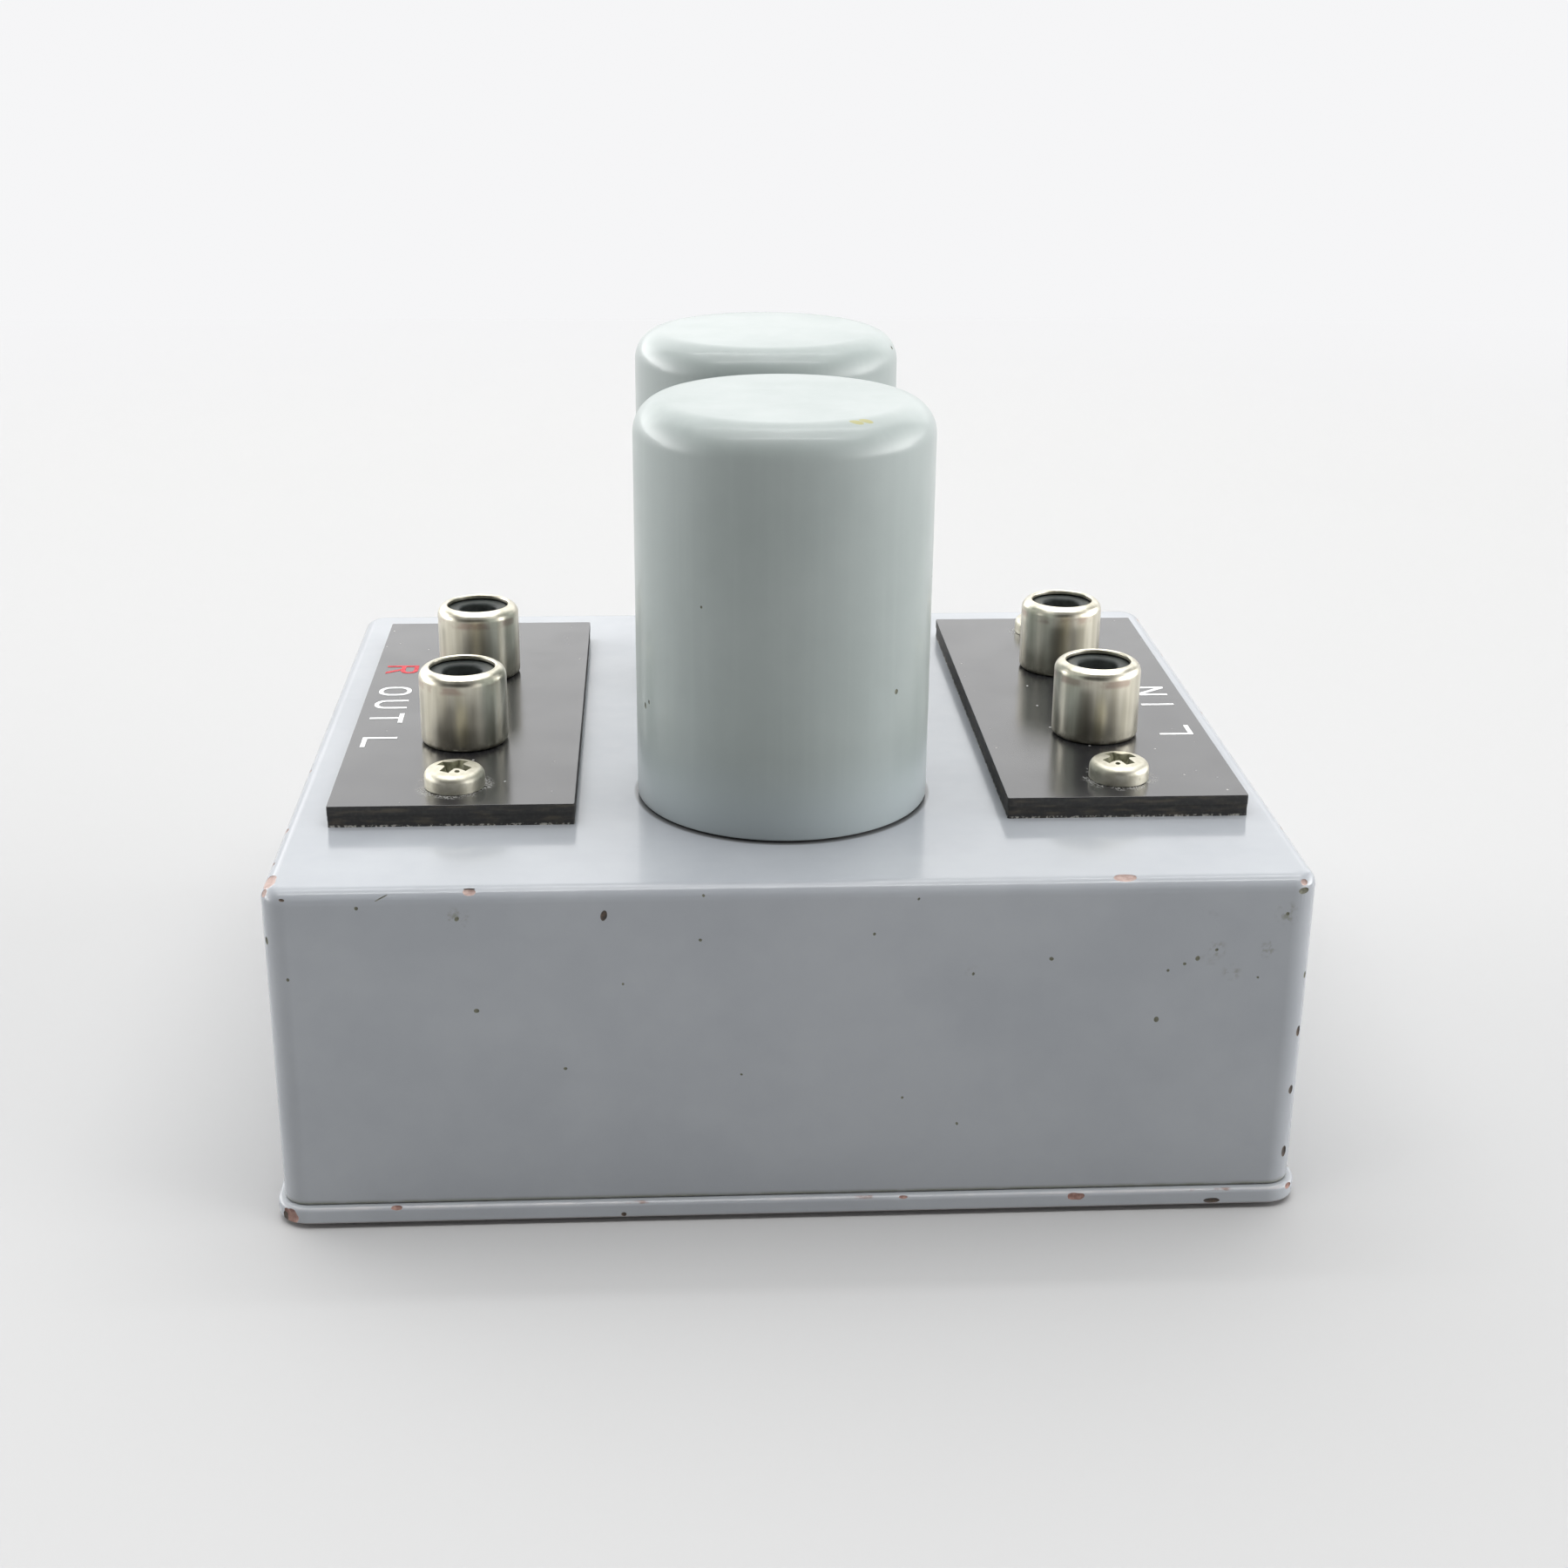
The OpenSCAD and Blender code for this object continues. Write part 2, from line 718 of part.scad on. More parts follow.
for (side = sides) {
    if (drawn(str(side[0], "_board"))) board(side[1]);
    for (end = ends) {
        jack = str(side[0], "_", end[0]);
        if (drawn(str(jack, "_shell"))) shell(side[1], end[1]);
        if (drawn(str(jack, "_insulator"))) insulator(side[1], end[1]);
        if (drawn(str(jack, "_contact"))) contact(side[1], end[1]);
        if (drawn(str(jack, "_ground_lug"))) ground_lug(side[1], end[1]);
    }
}
if (drawn("board_screws")) board_screws();
if (drawn("board_washers")) board_washers();
if (drawn("board_nuts")) board_nuts();
if (drawn("ground_tag")) ground_tag();
if (drawn("ground_wire")) ground_wire();
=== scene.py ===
# Step-up transformer box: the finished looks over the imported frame
import json
import math
import random

import bmesh
import bpy
from mathutils import Matrix, Vector
from mathutils.bvhtree import BVHTree


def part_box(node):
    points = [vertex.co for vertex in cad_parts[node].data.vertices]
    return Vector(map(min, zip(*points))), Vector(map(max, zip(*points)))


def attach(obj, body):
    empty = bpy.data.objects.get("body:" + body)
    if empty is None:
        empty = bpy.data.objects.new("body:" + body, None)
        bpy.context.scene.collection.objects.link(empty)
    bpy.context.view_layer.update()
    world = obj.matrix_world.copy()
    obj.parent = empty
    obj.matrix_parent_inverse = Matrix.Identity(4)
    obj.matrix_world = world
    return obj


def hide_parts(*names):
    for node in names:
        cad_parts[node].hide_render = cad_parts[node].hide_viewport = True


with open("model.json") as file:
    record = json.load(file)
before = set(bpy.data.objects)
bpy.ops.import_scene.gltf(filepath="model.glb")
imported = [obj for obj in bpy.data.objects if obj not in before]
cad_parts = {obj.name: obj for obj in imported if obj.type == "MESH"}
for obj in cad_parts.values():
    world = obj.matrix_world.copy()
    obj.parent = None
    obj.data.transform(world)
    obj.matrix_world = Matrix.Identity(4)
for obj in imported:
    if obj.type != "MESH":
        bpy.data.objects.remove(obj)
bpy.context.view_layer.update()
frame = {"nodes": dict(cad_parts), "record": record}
scene = bpy.context.scene
mm = 0.001
weldGap = 0.0008 * mm  # points closer than this become one
print("frame loaded with", len(frame["nodes"]), "nodes")


# node helpers: each adds to a tree and hands back an output
def addNode(tree, kind, inputs=None, **settings):
    made = tree.nodes.new(kind)
    for key, value in settings.items():
        setattr(made, key, value)
    for key, value in (inputs or {}).items():
        if isinstance(value, bpy.types.NodeSocket):
            tree.links.new(value, made.inputs[key])
        else:
            made.inputs[key].default_value = value
    return made


def nodeOut(tree, kind, inputs=None, **settings):
    return addNode(tree, kind, inputs, **settings).outputs[0]


def calc(tree, how, *values):
    total = values[0]
    for value in values[1:] or (0.0,):
        total = nodeOut(tree, "ShaderNodeMath", {0: total, 1: value}, operation=how)
    return total


def times(tree, *values):
    return calc(tree, "MULTIPLY", *values)


def plus(tree, *values):
    return calc(tree, "ADD", *values)


def minus(tree, a, b):
    return calc(tree, "SUBTRACT", a, b)


def larger(tree, *values):
    return calc(tree, "MAXIMUM", *values)


def vectorCalc(tree, how, a, b=(0, 0, 0)):
    made = addNode(tree, "ShaderNodeVectorMath", {0: a, 1: b}, operation=how)
    return made.outputs["Value" if how in ("LENGTH", "DOT_PRODUCT") else "Vector"]


def pushAlong(tree, direction, reach):
    return nodeOut(tree, "ShaderNodeVectorMath", {0: direction, "Scale": reach}, operation="SCALE")


def splitOf(tree, vector):
    return addNode(tree, "ShaderNodeSeparateXYZ", {0: vector}).outputs


def remap(tree, value, low, high, toLow=0.0, toHigh=1.0):
    return nodeOut(tree, "ShaderNodeMapRange", {
        "Value": value, "From Min": low, "From Max": high, "To Min": toLow, "To Max": toHigh,
    }, interpolation_type="SMOOTHSTEP")


def remapMm(tree, value, low, high, toLow=0.0, toHigh=1.0):
    return remap(tree, value, low * mm, high * mm, toLow, toHigh)


def blend(tree, amount, a, b):
    first = (*a, 1) if isinstance(a, tuple) else a
    second = (*b, 1) if isinstance(b, tuple) else b
    return addNode(tree, "ShaderNodeMix", {0: amount, 6: first, 7: second}, data_type="RGBA").outputs[2]


def layered(tree, colour, layers):
    for amount, tint in layers:  # each tint lies over the ones before it
        colour = blend(tree, amount, colour, tint)
    return colour


def noiseOf(tree, point, size, detail, squash=None):
    if squash:
        point = nodeOut(tree, "ShaderNodeMapping", {"Vector": point, "Scale": squash})
    return addNode(tree, "ShaderNodeTexNoise", {
        "Vector": point, "Scale": 1 / (size * mm), "Detail": detail}).outputs["Fac"]


def patchOf(tree, point, size, detail, low, high, toLow=0.0, toHigh=1.0, squash=None):
    return remap(tree, noiseOf(tree, point, size, detail, squash), low, high, toLow, toHigh)


def patternsOf(tree, point, look):
    return lambda key: patchOf(tree, point, *look[key])


def bumpOf(tree, height, depth, under=None):
    inputs = {"Height": height, "Strength": 1.0, "Distance": depth * mm}
    if under:
        inputs["Normal"] = under
    return nodeOut(tree, "ShaderNodeBump", inputs)


def nearness(tree, point, spot, radius, stretch=(1, 1, 1), core=0.35):
    # one at the core, falling to nothing at the radius
    moved = vectorCalc(tree, "SUBTRACT", point, tuple(value * mm for value in spot))
    away = vectorCalc(tree, "LENGTH", vectorCalc(tree, "MULTIPLY", moved, stretch))
    return remapMm(tree, away, radius, radius * core)


def startFinish(name, sockets):
    made = bpy.data.materials.new(name)
    made.use_nodes = True
    tree = made.node_tree
    shader = tree.nodes["Principled BSDF"]
    for key, value in sockets.items():
        shader.inputs[key].default_value = value
    point = tree.nodes.new("ShaderNodeTexCoord").outputs["Object"]
    return made, tree, shader, point


def wire(tree, shader, colour, gloss=None, normal=None):
    for socket, source in (("Base Color", colour), ("Roughness", gloss), ("Normal", normal)):
        if source is not None:
            tree.links.new(source, shader.inputs[socket])


def geometryTree(name, sockets):
    tree = bpy.data.node_groups.new(name, "GeometryNodeTree")
    tree.interface.new_socket("Geometry", in_out="OUTPUT", socket_type="NodeSocketGeometry")
    tree.interface.new_socket("Geometry", in_out="INPUT", socket_type="NodeSocketGeometry")
    for label, kind in sockets.items():
        tree.interface.new_socket(label, in_out="INPUT", socket_type="NodeSocket" + kind)
    return tree, tree.nodes.new("NodeGroupInput").outputs, tree.nodes.new("NodeGroupOutput").inputs["Geometry"]


# mesh helpers
def plainMesh(holder):
    graph = bpy.context.evaluated_depsgraph_get()
    return bpy.data.meshes.new_from_object(
        holder.evaluated_get(graph), preserve_all_data_layers=True, depsgraph=graph)


def holdMesh(name, mesh):
    holder = bpy.data.objects.new(name, mesh)
    scene.collection.objects.link(holder)
    return holder


def growMesh(name, base, tree, values):
    holder = holdMesh(name + "Holder", base)
    grow = holder.modifiers.new("grow", "NODES")
    grow.node_group = tree
    for item in tree.interface.items_tree:
        if item.in_out == "INPUT" and item.name in values:
            grow[item.identifier] = values[item.name]
    made = plainMesh(holder)
    holder.modifiers.remove(grow)
    bpy.data.objects.remove(holder)
    made.name = name
    return made


def meshOf(name, points, faces, edges=()):
    made = bpy.data.meshes.new(name)
    made.from_pydata([Vector(point) * mm for point in points], edges, faces)
    return made


def finishPiece(name, mesh, slot, *replaced, sharp=32.0, flats=False):
    shape = bmesh.new()
    shape.from_mesh(mesh)
    bmesh.ops.remove_doubles(shape, verts=shape.verts, dist=weldGap)
    bmesh.ops.recalc_face_normals(shape, faces=shape.faces)
    for face in shape.faces:
        face.smooth = True
    shape.to_mesh(mesh)
    shape.free()
    mesh.set_sharp_from_angle(angle=math.radians(sharp))
    piece = holdMesh(name, mesh)
    if flats:  # flat sides stay flat beside their rounded edges
        even = piece.modifiers.new("evenShading", "WEIGHTED_NORMAL")
        even.keep_sharp = True
        even.weight = 80
        shaded = plainMesh(piece)
        piece.modifiers.remove(even)
        piece.data = shaded
    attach(piece, "root")
    if replaced:
        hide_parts(*replaced)
    print(name, "has", len(piece.data.polygons), "faces")
    return piece


def boxMm(node):
    low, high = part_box(node)
    return low / mm, high / mm


# camera at the photograph's place
cameraLook = {"place": (-11.161, -213.249, 107.618), "yaw": 3.3211, "pitch": 21.0653, "roll": 0.4831,
              "lens": 51.683, "sensor": 36.0, "clip": (0.01, 20)}


def placeCamera(look):
    data = bpy.data.cameras.new("camera")
    data.lens, data.sensor_width = look["lens"], look["sensor"]
    data.clip_start, data.clip_end = look["clip"]
    yaw, pitch, roll = (math.radians(look[key]) for key in ("yaw", "pitch", "roll"))
    ahead = Vector((math.sin(yaw) * math.cos(pitch), math.cos(yaw) * math.cos(pitch), -math.sin(pitch)))
    right = Vector((math.cos(yaw), -math.sin(yaw), 0))
    above = right.cross(ahead)
    turnedRight = right * math.cos(roll) + above * math.sin(roll)
    turnedUp = above * math.cos(roll) - right * math.sin(roll)
    turn = Matrix((turnedRight, turnedUp, -ahead)).transposed().to_4x4()
    camera = holdMesh("camera", data)
    camera.matrix_world = Matrix.Translation(Vector(look["place"]) * mm) @ turn
    scene.camera = camera


placeCamera(cameraLook)
print("camera placed")


# floor, backdrop and studio light
stageLook = {
    "floor": (0.450, 0.450, 0.451), "floorFar": (0.455, 0.455, 0.455), "farFrom": -250.0, "roughness": 0.85,
    "shine": 0.1, "drop": 0.45, "floorSize": 3000.0, "fade": (260.0, 520.0), "backdropAt": 440.0,
    "backdropHeight": 120.0, "backdrop": (0.92, 0.92, 0.93),
}
lightLook = {
    "ambient": 0.02, "fromAbove": 0.08, "fromBehind": 0.15, "seen": 0.92,
    "rightGlow": {"turn": 86.0, "rise": 5.0, "focus": 6.0, "level": 11.8},
    "leftGlow": {"turn": 246.0, "rise": 5.0, "focus": 6.0, "level": 11.0},
}
lampLooks = {
    "backPanel": {"place": (0, 810, 410), "size": (1600, 500), "radiance": 1.5},
    "upperBackPanel": {"place": (0, 470, 790), "size": (1300, 560), "radiance": 1.6},
    "overheadLeft": {"place": (-310, -35, 1000), "size": (600, 900), "radiance": 2.0},
    "overheadRight": {"place": (310, -35, 1000), "size": (600, 900), "radiance": 2.0},
    "frontTube": {"place": (0, -300, 1000), "size": (1300, 60), "radiance": 15.0},
    "rearTube": {"place": (0, 330, 1000), "size": (1300, 60), "radiance": 11.0},
    "frontRightPanel": {"place": (240, -225, 110), "size": (260, 260), "radiance": 0.15},
}


def paleWhereSeen(tree, surface, colour, amount):
    path = tree.nodes.new("ShaderNodeLightPath").outputs
    seen = larger(tree, path["Is Glossy Ray"], path["Is Transmission Ray"], path["Is Camera Ray"])
    glow = addNode(tree, "ShaderNodeEmission", {"Color": (*colour, 1), "Strength": 1.0})
    mixed = addNode(tree, "ShaderNodeMixShader", {0: times(tree, seen, amount), 1: surface, 2: glow.outputs[0]})
    tree.links.new(mixed.outputs[0], tree.nodes["Material Output"].inputs["Surface"])


def layStage(look):
    half, back, top = look["floorSize"] / 2, look["backdropAt"], look["backdropHeight"]
    low = -look["drop"]  # the plate's foot keeps a hair of shadow under it
    made, tree, shader, point = startFinish("floorPaint", {
        "Roughness": look["roughness"], "Specular IOR Level": look["shine"]})
    behind = remapMm(tree, splitOf(tree, point)["Y"], look["farFrom"], back)
    wire(tree, shader, blend(tree, behind, look["floor"], look["floorFar"]))
    away = remapMm(tree, vectorCalc(tree, "LENGTH", point), *look["fade"])
    paleWhereSeen(tree, shader.outputs[0], look["backdrop"], away)  # far off, the floor melts into the backdrop
    corners = [(-half, -half, low), (half, -half, low), (half, half, low), (-half, half, low)]
    floor = meshOf("floor", corners, [(0, 1, 2, 3)])
    floor.materials.append(made)
    made, tree, shader, point = startFinish("backdropPaint", {})
    paleWhereSeen(tree, tree.nodes.new("ShaderNodeBsdfTransparent").outputs[0], look["backdrop"], 1.0)
    tree.nodes.remove(shader)
    corners = [(-half, back, low), (half, back, low), (half, back, top), (-half, back, top)]
    wall = meshOf("backdrop", corners, [(0, 1, 2, 3)])
    wall.materials.append(made)
    holdMesh("floor", floor)
    holdMesh("backdrop", wall)


def softWorld(look):
    world = bpy.data.worlds.new("studio")
    scene.world = world
    world.use_nodes = True
    tree = world.node_tree
    ahead = tree.nodes.new("ShaderNodeTexCoord").outputs["Generated"]
    heading = splitOf(tree, ahead)
    levels = [times(tree, larger(tree, heading["Z"], 0.0), look["fromAbove"])]
    flatter = calc(tree, "POWER", minus(tree, 1.0, heading["Z"]), 2.0)
    for glow in (look["rightGlow"], look["leftGlow"]):  # two wide pale walls, turned from the front
        turn, rise = math.radians(glow["turn"]), math.radians(glow["rise"])
        middle = (math.sin(turn) * math.cos(rise), -math.cos(turn) * math.cos(rise), math.sin(rise))
        facing = larger(tree, vectorCalc(tree, "DOT_PRODUCT", ahead, middle), 0.0)
        levels.append(times(tree, calc(tree, "POWER", facing, glow["focus"]), flatter, glow["level"]))
    levels.append(times(tree, larger(tree, heading["Y"], 0.0), look["fromBehind"]))
    total = plus(tree, *levels, look["ambient"])
    path = tree.nodes.new("ShaderNodeLightPath").outputs
    level = nodeOut(tree, "ShaderNodeMix", {0: path["Is Camera Ray"], 2: total, 3: look["seen"]})
    tree.links.new(level, tree.nodes["Background"].inputs["Strength"])
    tree.nodes["Background"].inputs["Color"].default_value = (1, 1, 1, 1)


def hangLamp(name, look, aim=(0, 0, 30)):
    data = bpy.data.lights.new(name, "AREA")
    data.shape = "RECTANGLE"
    data.size, data.size_y = (side * mm for side in look["size"])
    data.energy = look["radiance"] * math.pi * data.size * data.size_y
    lamp = holdMesh(name, data)
    place = Vector(look["place"]) * mm
    lamp.location = place
    lamp.rotation_euler = (Vector(aim) * mm - place).to_track_quat("-Z", "Y").to_euler()
    lamp.visible_camera = False


layStage(stageLook)
softWorld(lightLook)
for lampName, lampLook in lampLooks.items():
    hangLamp(lampName, lampLook)
scene.view_settings.view_transform = "Standard"
print("stage and light set")


# finishes seen from outside; a pattern is its size in mm, detail, noise range and the amounts that gives
caseEnamelLook = {
    "colour": (0.335, 0.352, 0.374), "shade": (0.305, 0.322, 0.345), "ior": 1.40, "coat": (0.26, 0.05),
    "cloud": (16.0, 3.0, 0.32, 0.68), "mottle": (2.2, 4.0, 0.3, 0.7, -0.12, 0.12),
    "gloss": (9.0, 4.0, 0.3, 0.7, 0.15, 0.22), "peel": (1.4, 1.0), "peelDepth": 0.006,
    "dust": (0.55, 1.0, 0.72, 0.8), "dustDepth": 0.005,
    "stain": (0.15, 0.15, 0.095), "stained": (5.5, 5.0, 0.72, 0.81, 0.0, 0.3),
    "freckles": (0.55, 4.0, 0.46, 0.70, 0.0, 0.6), "haloCore": 0.1,
    "halos": [((-28.5, -40, 29.0), 1.5), ((36.3, -40, 25.0), 1.2), ((42.2, -40, 28.3), 1.4),
              ((15.3, -40, 23.1), 0.9), ((40.8, -40, 25.0), 1.1), ((37.8, -40, 22.9), 1.1)],
    "seam": (2.2, 1.7, 0.0, 0.75), "seamDirt": (2.5, 3.0, 0.2, 0.6, 0.4, 1.0),
    # the ring round each can's foot is painted contact shadow with some grime
    "feet": [(0, -17.4, 0), (0, 17.4, 0)], "footRing": (13.85, (1, 1, 0), 0.975),
    "canFootShadeAndGrime": (0.75, (0.06, 0.06, 0.058)),
}
# the plate takes the case's paint made paler: painted light that makes up for the shade near the floor
plateEnamelLook = dict(
    caseEnamelLook, colour=(0.365, 0.384, 0.408), shade=(0.333, 0.350, 0.374), halos=[], seam=None, feet=[],
    # the pale line on the plate's upper edge is worn paint and a painted highlight
    edge=((1.36, 1.44), (1.595, 1.565)), wornAndHighlitEdge=(0.62, 0.55, 0.52), rubbed=(3.5, 5.0, 0.40, 0.66, 0.05, 0.28),
    rusty=(0.22, 0.13, 0.10), rusted=(4.4, 5.0, 0.60, 0.67, 0.0, 0.8), plateFootDarkening=(0.30, 0.05, 0.0, 0.5))
canEnamelLook = dict(
    caseEnamelLook, colour=(0.302, 0.337, 0.328), shade=(0.275, 0.311, 0.301), coat=(0.22, 0.07),
    gloss=(9.0, 4.0, 0.3, 0.7, 0.30, 0.40), peel=(1.0, 1.0), peelDepth=0.002, stained=None, dust=None, halos=[],
    seam=None, feet=[], streaks=(1.1, 3.0, 0.45, 0.72, 0.0, 0.25, (1, 1, 0.03)), streakLift=1.05,
    # the cans' paler, bluer foot is a painted reflection
    paintedReflectionRise=(40.0, 31.8), pale=(0.370, 0.415, 0.425), flakes=[(5.45, -27.35, 68.25), (6.3, -26.85, 68.25)],
    flakeShape=(0.8, (0.9, 1.8, 1.0)), flakeEdge=(0.25, 0.6), flake=(0.30, 0.29, 0.12))


def enamel(name, look):
    coat, coatGloss = look["coat"]
    made, tree, shader, point = startFinish(name, {
        "IOR": look["ior"], "Coat Weight": coat, "Coat Roughness": coatGloss, "Coat IOR": look["ior"]})
    height = splitOf(tree, point)["Z"]
    pattern = patternsOf(tree, point, look)
    layers = []
    if look.get("streaks"):  # drawing marks run up the can
        layers.append((pattern("streaks"), tuple(value * look["streakLift"] for value in look["colour"])))
    if look["stained"]:
        layers.append((pattern("stained"), look["stain"]))
    if look["halos"]:  # faint freckles round the deeper pits
        freckles = pattern("freckles")
        for spot, radius in look["halos"]:
            near = nearness(tree, point, spot, radius, core=look["haloCore"])
            layers.append((times(tree, near, freckles), look["stain"]))
    for spot in look["feet"]:  # a dark ring round each can's foot: painted contact shadow and some grime
        amount, tint = look["canFootShadeAndGrime"]
        layers.append((times(tree, nearness(tree, point, spot, *look["footRing"]), amount), tint))
    if look["seam"]:  # dust and old oil where the case meets its plate
        layers.append((times(tree, remapMm(tree, height, *look["seam"]), pattern("seamDirt")), look["stain"]))
    if look.get("wornAndHighlitEdge"):  # a paler broken line along the plate's upper edge: worn paint and a painted highlight
        edge = times(tree, *[remapMm(tree, height, *rise) for rise in look["edge"]])
        layers.append((times(tree, edge, pattern("rubbed")), look["wornAndHighlitEdge"]))
        layers.append((times(tree, edge, pattern("rusted")), look["rusty"]))
        # the plate turns darker and browner towards its very foot
        layers.append((remapMm(tree, height, *look["plateFootDarkening"]), look["rusty"]))
    if look.get("pale"):  # paler and bluer towards the foot: a painted reflection of the bright surroundings
        layers.append((remapMm(tree, height, *look["paintedReflectionRise"]), look["pale"]))
    if look.get("flakes"):
        dash = larger(tree, *[nearness(tree, point, spot, *look["flakeShape"]) for spot in look["flakes"]])
        layers.append((remap(tree, dash, *look["flakeEdge"]), look["flake"]))
    base = blend(tree, plus(tree, pattern("cloud"), pattern("mottle")), look["shade"], look["colour"])
    ripple = bumpOf(tree, noiseOf(tree, point, *look["peel"]), look["peelDepth"])
    if look["dust"]:
        ripple = bumpOf(tree, pattern("dust"), look["dustDepth"], ripple)
    wire(tree, shader, layered(tree, base, layers), pattern("gloss"), ripple)
    return made


boardFaceLook = {
    "colour": (0.016, 0.016, 0.018), "ior": 1.74, "gloss": (7.0, 4.0, 0.3, 0.7, 0.15, 0.22),
    "dust": (0.42, 0.42, 0.40), "dustGloss": 0.5, "dustDepth": 0.02,
    "screwMiddle": (0.5, 2.1), "screwReach": (30.5, 22.75), "ring": (3.95, 2.85),
    "arcs": (1.3, 2.0, 0.38, 0.52), "crumbs": (0.18, 3.0, 0.42, 0.62, 0.0, 0.6),
    "film": (6.0, 5.0, 0.35, 0.75, 0.0, 0.035), "grainPitch": 1.5, "grainSize": (0.10, 0.05),
    "grainShare": (0.72, 0.78), "brushed": (0.5, 2.0, (1, 0.06, 1)), "brushDepth": 0.0006,
}


def boardFaceFinish(name, look):
    made, tree, shader, point = startFinish(name, {"IOR": look["ior"]})
    pattern = patternsOf(tree, point, look)
    parts = splitOf(tree, point)
    squares = []
    for axis, middle, reach in zip("XY", look["screwMiddle"], look["screwReach"]):  # folded onto one screw
        folded = minus(tree, calc(tree, "ABSOLUTE", minus(tree, parts[axis], middle * mm)), reach * mm)
        squares.append(times(tree, folded, folded))
    ring = times(tree, remapMm(tree, calc(tree, "SQRT", plus(tree, *squares)), *look["ring"]),
                 pattern("arcs"), pattern("crumbs"))
    cells = addNode(tree, "ShaderNodeTexVoronoi", {
        "Vector": point, "Scale": 1 / (look["grainPitch"] * mm), "Randomness": 1.0}).outputs
    chosen = nodeOut(tree, "ShaderNodeSeparateColor", {0: cells["Color"]})
    grains = times(tree, remap(tree, cells["Distance"], *look["grainSize"]), remap(tree, chosen, *look["grainShare"]))
    dust = larger(tree, ring, pattern("film"), grains)
    gloss = plus(tree, pattern("gloss"), times(tree, dust, look["dustGloss"]))
    brushed = bumpOf(tree, noiseOf(tree, point, *look["brushed"]), look["brushDepth"])
    wire(tree, shader, blend(tree, dust, look["colour"], look["dust"]), gloss,
         bumpOf(tree, dust, look["dustDepth"], brushed))
    return made


boardCoreLook = {
    "colour": (0.032, 0.032, 0.032), "fibre": (0.068, 0.060, 0.049), "dust": (0.42, 0.41, 0.37), "roughness": 0.72,
    "shine": 0.3, "fibres": (0.45, 4.0, 0.46, 0.72, 0.0, 1.0, (0.16, 0.16, 1)), "low": (31.86, 31.68, 0.02, 0.92),
    "crumbs": (0.3, 4.0, 0.47, 0.64), "torn": (0.3, 4.0, (0.4, 0.4, 1)), "tornDepth": 0.03,
}


def boardCoreFinish(name, look):
    made, tree, shader, point = startFinish(name, {
        "Roughness": look["roughness"], "Specular IOR Level": look["shine"]})
    pattern = patternsOf(tree, point, look)
    low = remapMm(tree, splitOf(tree, point)["Z"], *look["low"])  # dust has settled along the foot
    colour = layered(tree, look["colour"], [
        (pattern("fibres"), look["fibre"]),
        (times(tree, pattern("crumbs"), low), look["dust"])])
    wire(tree, shader, colour, None, bumpOf(tree, noiseOf(tree, point, *look["torn"]), look["tornDepth"]))
    return made


nickelLook = {
    "colour": (0.66, 0.63, 0.53), "dull": (0.54, 0.51, 0.41), "streak": (0.9, 3.0, (1, 1, 0.07)),
    # the dark vertical bands are tarnish and painted reflection bands
    "dulled": (0.35, 0.7), "tarnishAndReflectionTint": (0.30, 0.28, 0.22), "bands": (1.9, 1.0, 0.50, 0.66, 0.0, 0.65, (1, 1, 0.05)),
    "bandsEnd": (39.6, 38.6), "stain": (0.42, 0.33, 0.27), "lip": ((39.2, 39.6), (40.2, 39.95)),
    "patch": (2.2, 4.0), "stained": (0.42, 0.62, 0.0, 0.8),
    "grime": (0.14, 0.125, 0.095), "foot": (35.0, 33.4), "dirt": (0.8, 4.0, 0.3, 0.62),
    "freckles": (0.3, 3.0, 0.71, 0.79, 0.0, 0.25), "gloss": (0.3, 0.7, 0.28, 0.34), "dirtGloss": 0.35, "bump": 0.0004,
}


def nickelFinish(name, look):
    made, tree, shader, point = startFinish(name, {"Metallic": 1.0})
    pattern = patternsOf(tree, point, look)
    height = splitOf(tree, point)["Z"]
    streak, patch = noiseOf(tree, point, *look["streak"]), noiseOf(tree, point, *look["patch"])
    # dark vertical bands: tarnish and painted reflection bands
    bands = times(tree, pattern("bands"), remapMm(tree, height, *look["bandsEnd"]))
    lip = times(tree, *[remapMm(tree, height, *rise) for rise in look["lip"]], remap(tree, patch, *look["stained"]))
    foot = times(tree, remapMm(tree, height, *look["foot"]), pattern("dirt"))
    dirt = larger(tree, foot, pattern("freckles"))
    colour = layered(tree, look["colour"], [
        (remap(tree, streak, *look["dulled"]), look["dull"]), (bands, look["tarnishAndReflectionTint"]), (lip, look["stain"]),
        (dirt, look["grime"])])
    gloss = plus(tree, remap(tree, patch, *look["gloss"]), times(tree, dirt, look["dirtGloss"]))
    wire(tree, shader, colour, gloss, bumpOf(tree, streak, look["bump"]))
    return made


screwLook = {
    "colour": (0.57, 0.55, 0.465), "dull": (0.49, 0.47, 0.385), "grime": (0.21, 0.20, 0.14), "wear": (0.8, 4.0),
    "dulled": (0.35, 0.65), "spots": (0.4, 3.0, 0.66, 0.78, 0.0, 0.4), "gloss": (0.3, 0.7, 0.40, 0.52),
    "dents": (0.25, 3.0), "dentDepth": 0.006,
}


def screwFinish(name, look):
    made, tree, shader, point = startFinish(name, {"Metallic": 1.0})
    pattern = patternsOf(tree, point, look)
    wear = noiseOf(tree, point, *look["wear"])
    colour = layered(tree, look["colour"], [
        (remap(tree, wear, *look["dulled"]), look["dull"]), (pattern("spots"), look["grime"])])
    wire(tree, shader, colour, remap(tree, wear, *look["gloss"]),
         bumpOf(tree, noiseOf(tree, point, *look["dents"]), look["dentDepth"]))
    return made


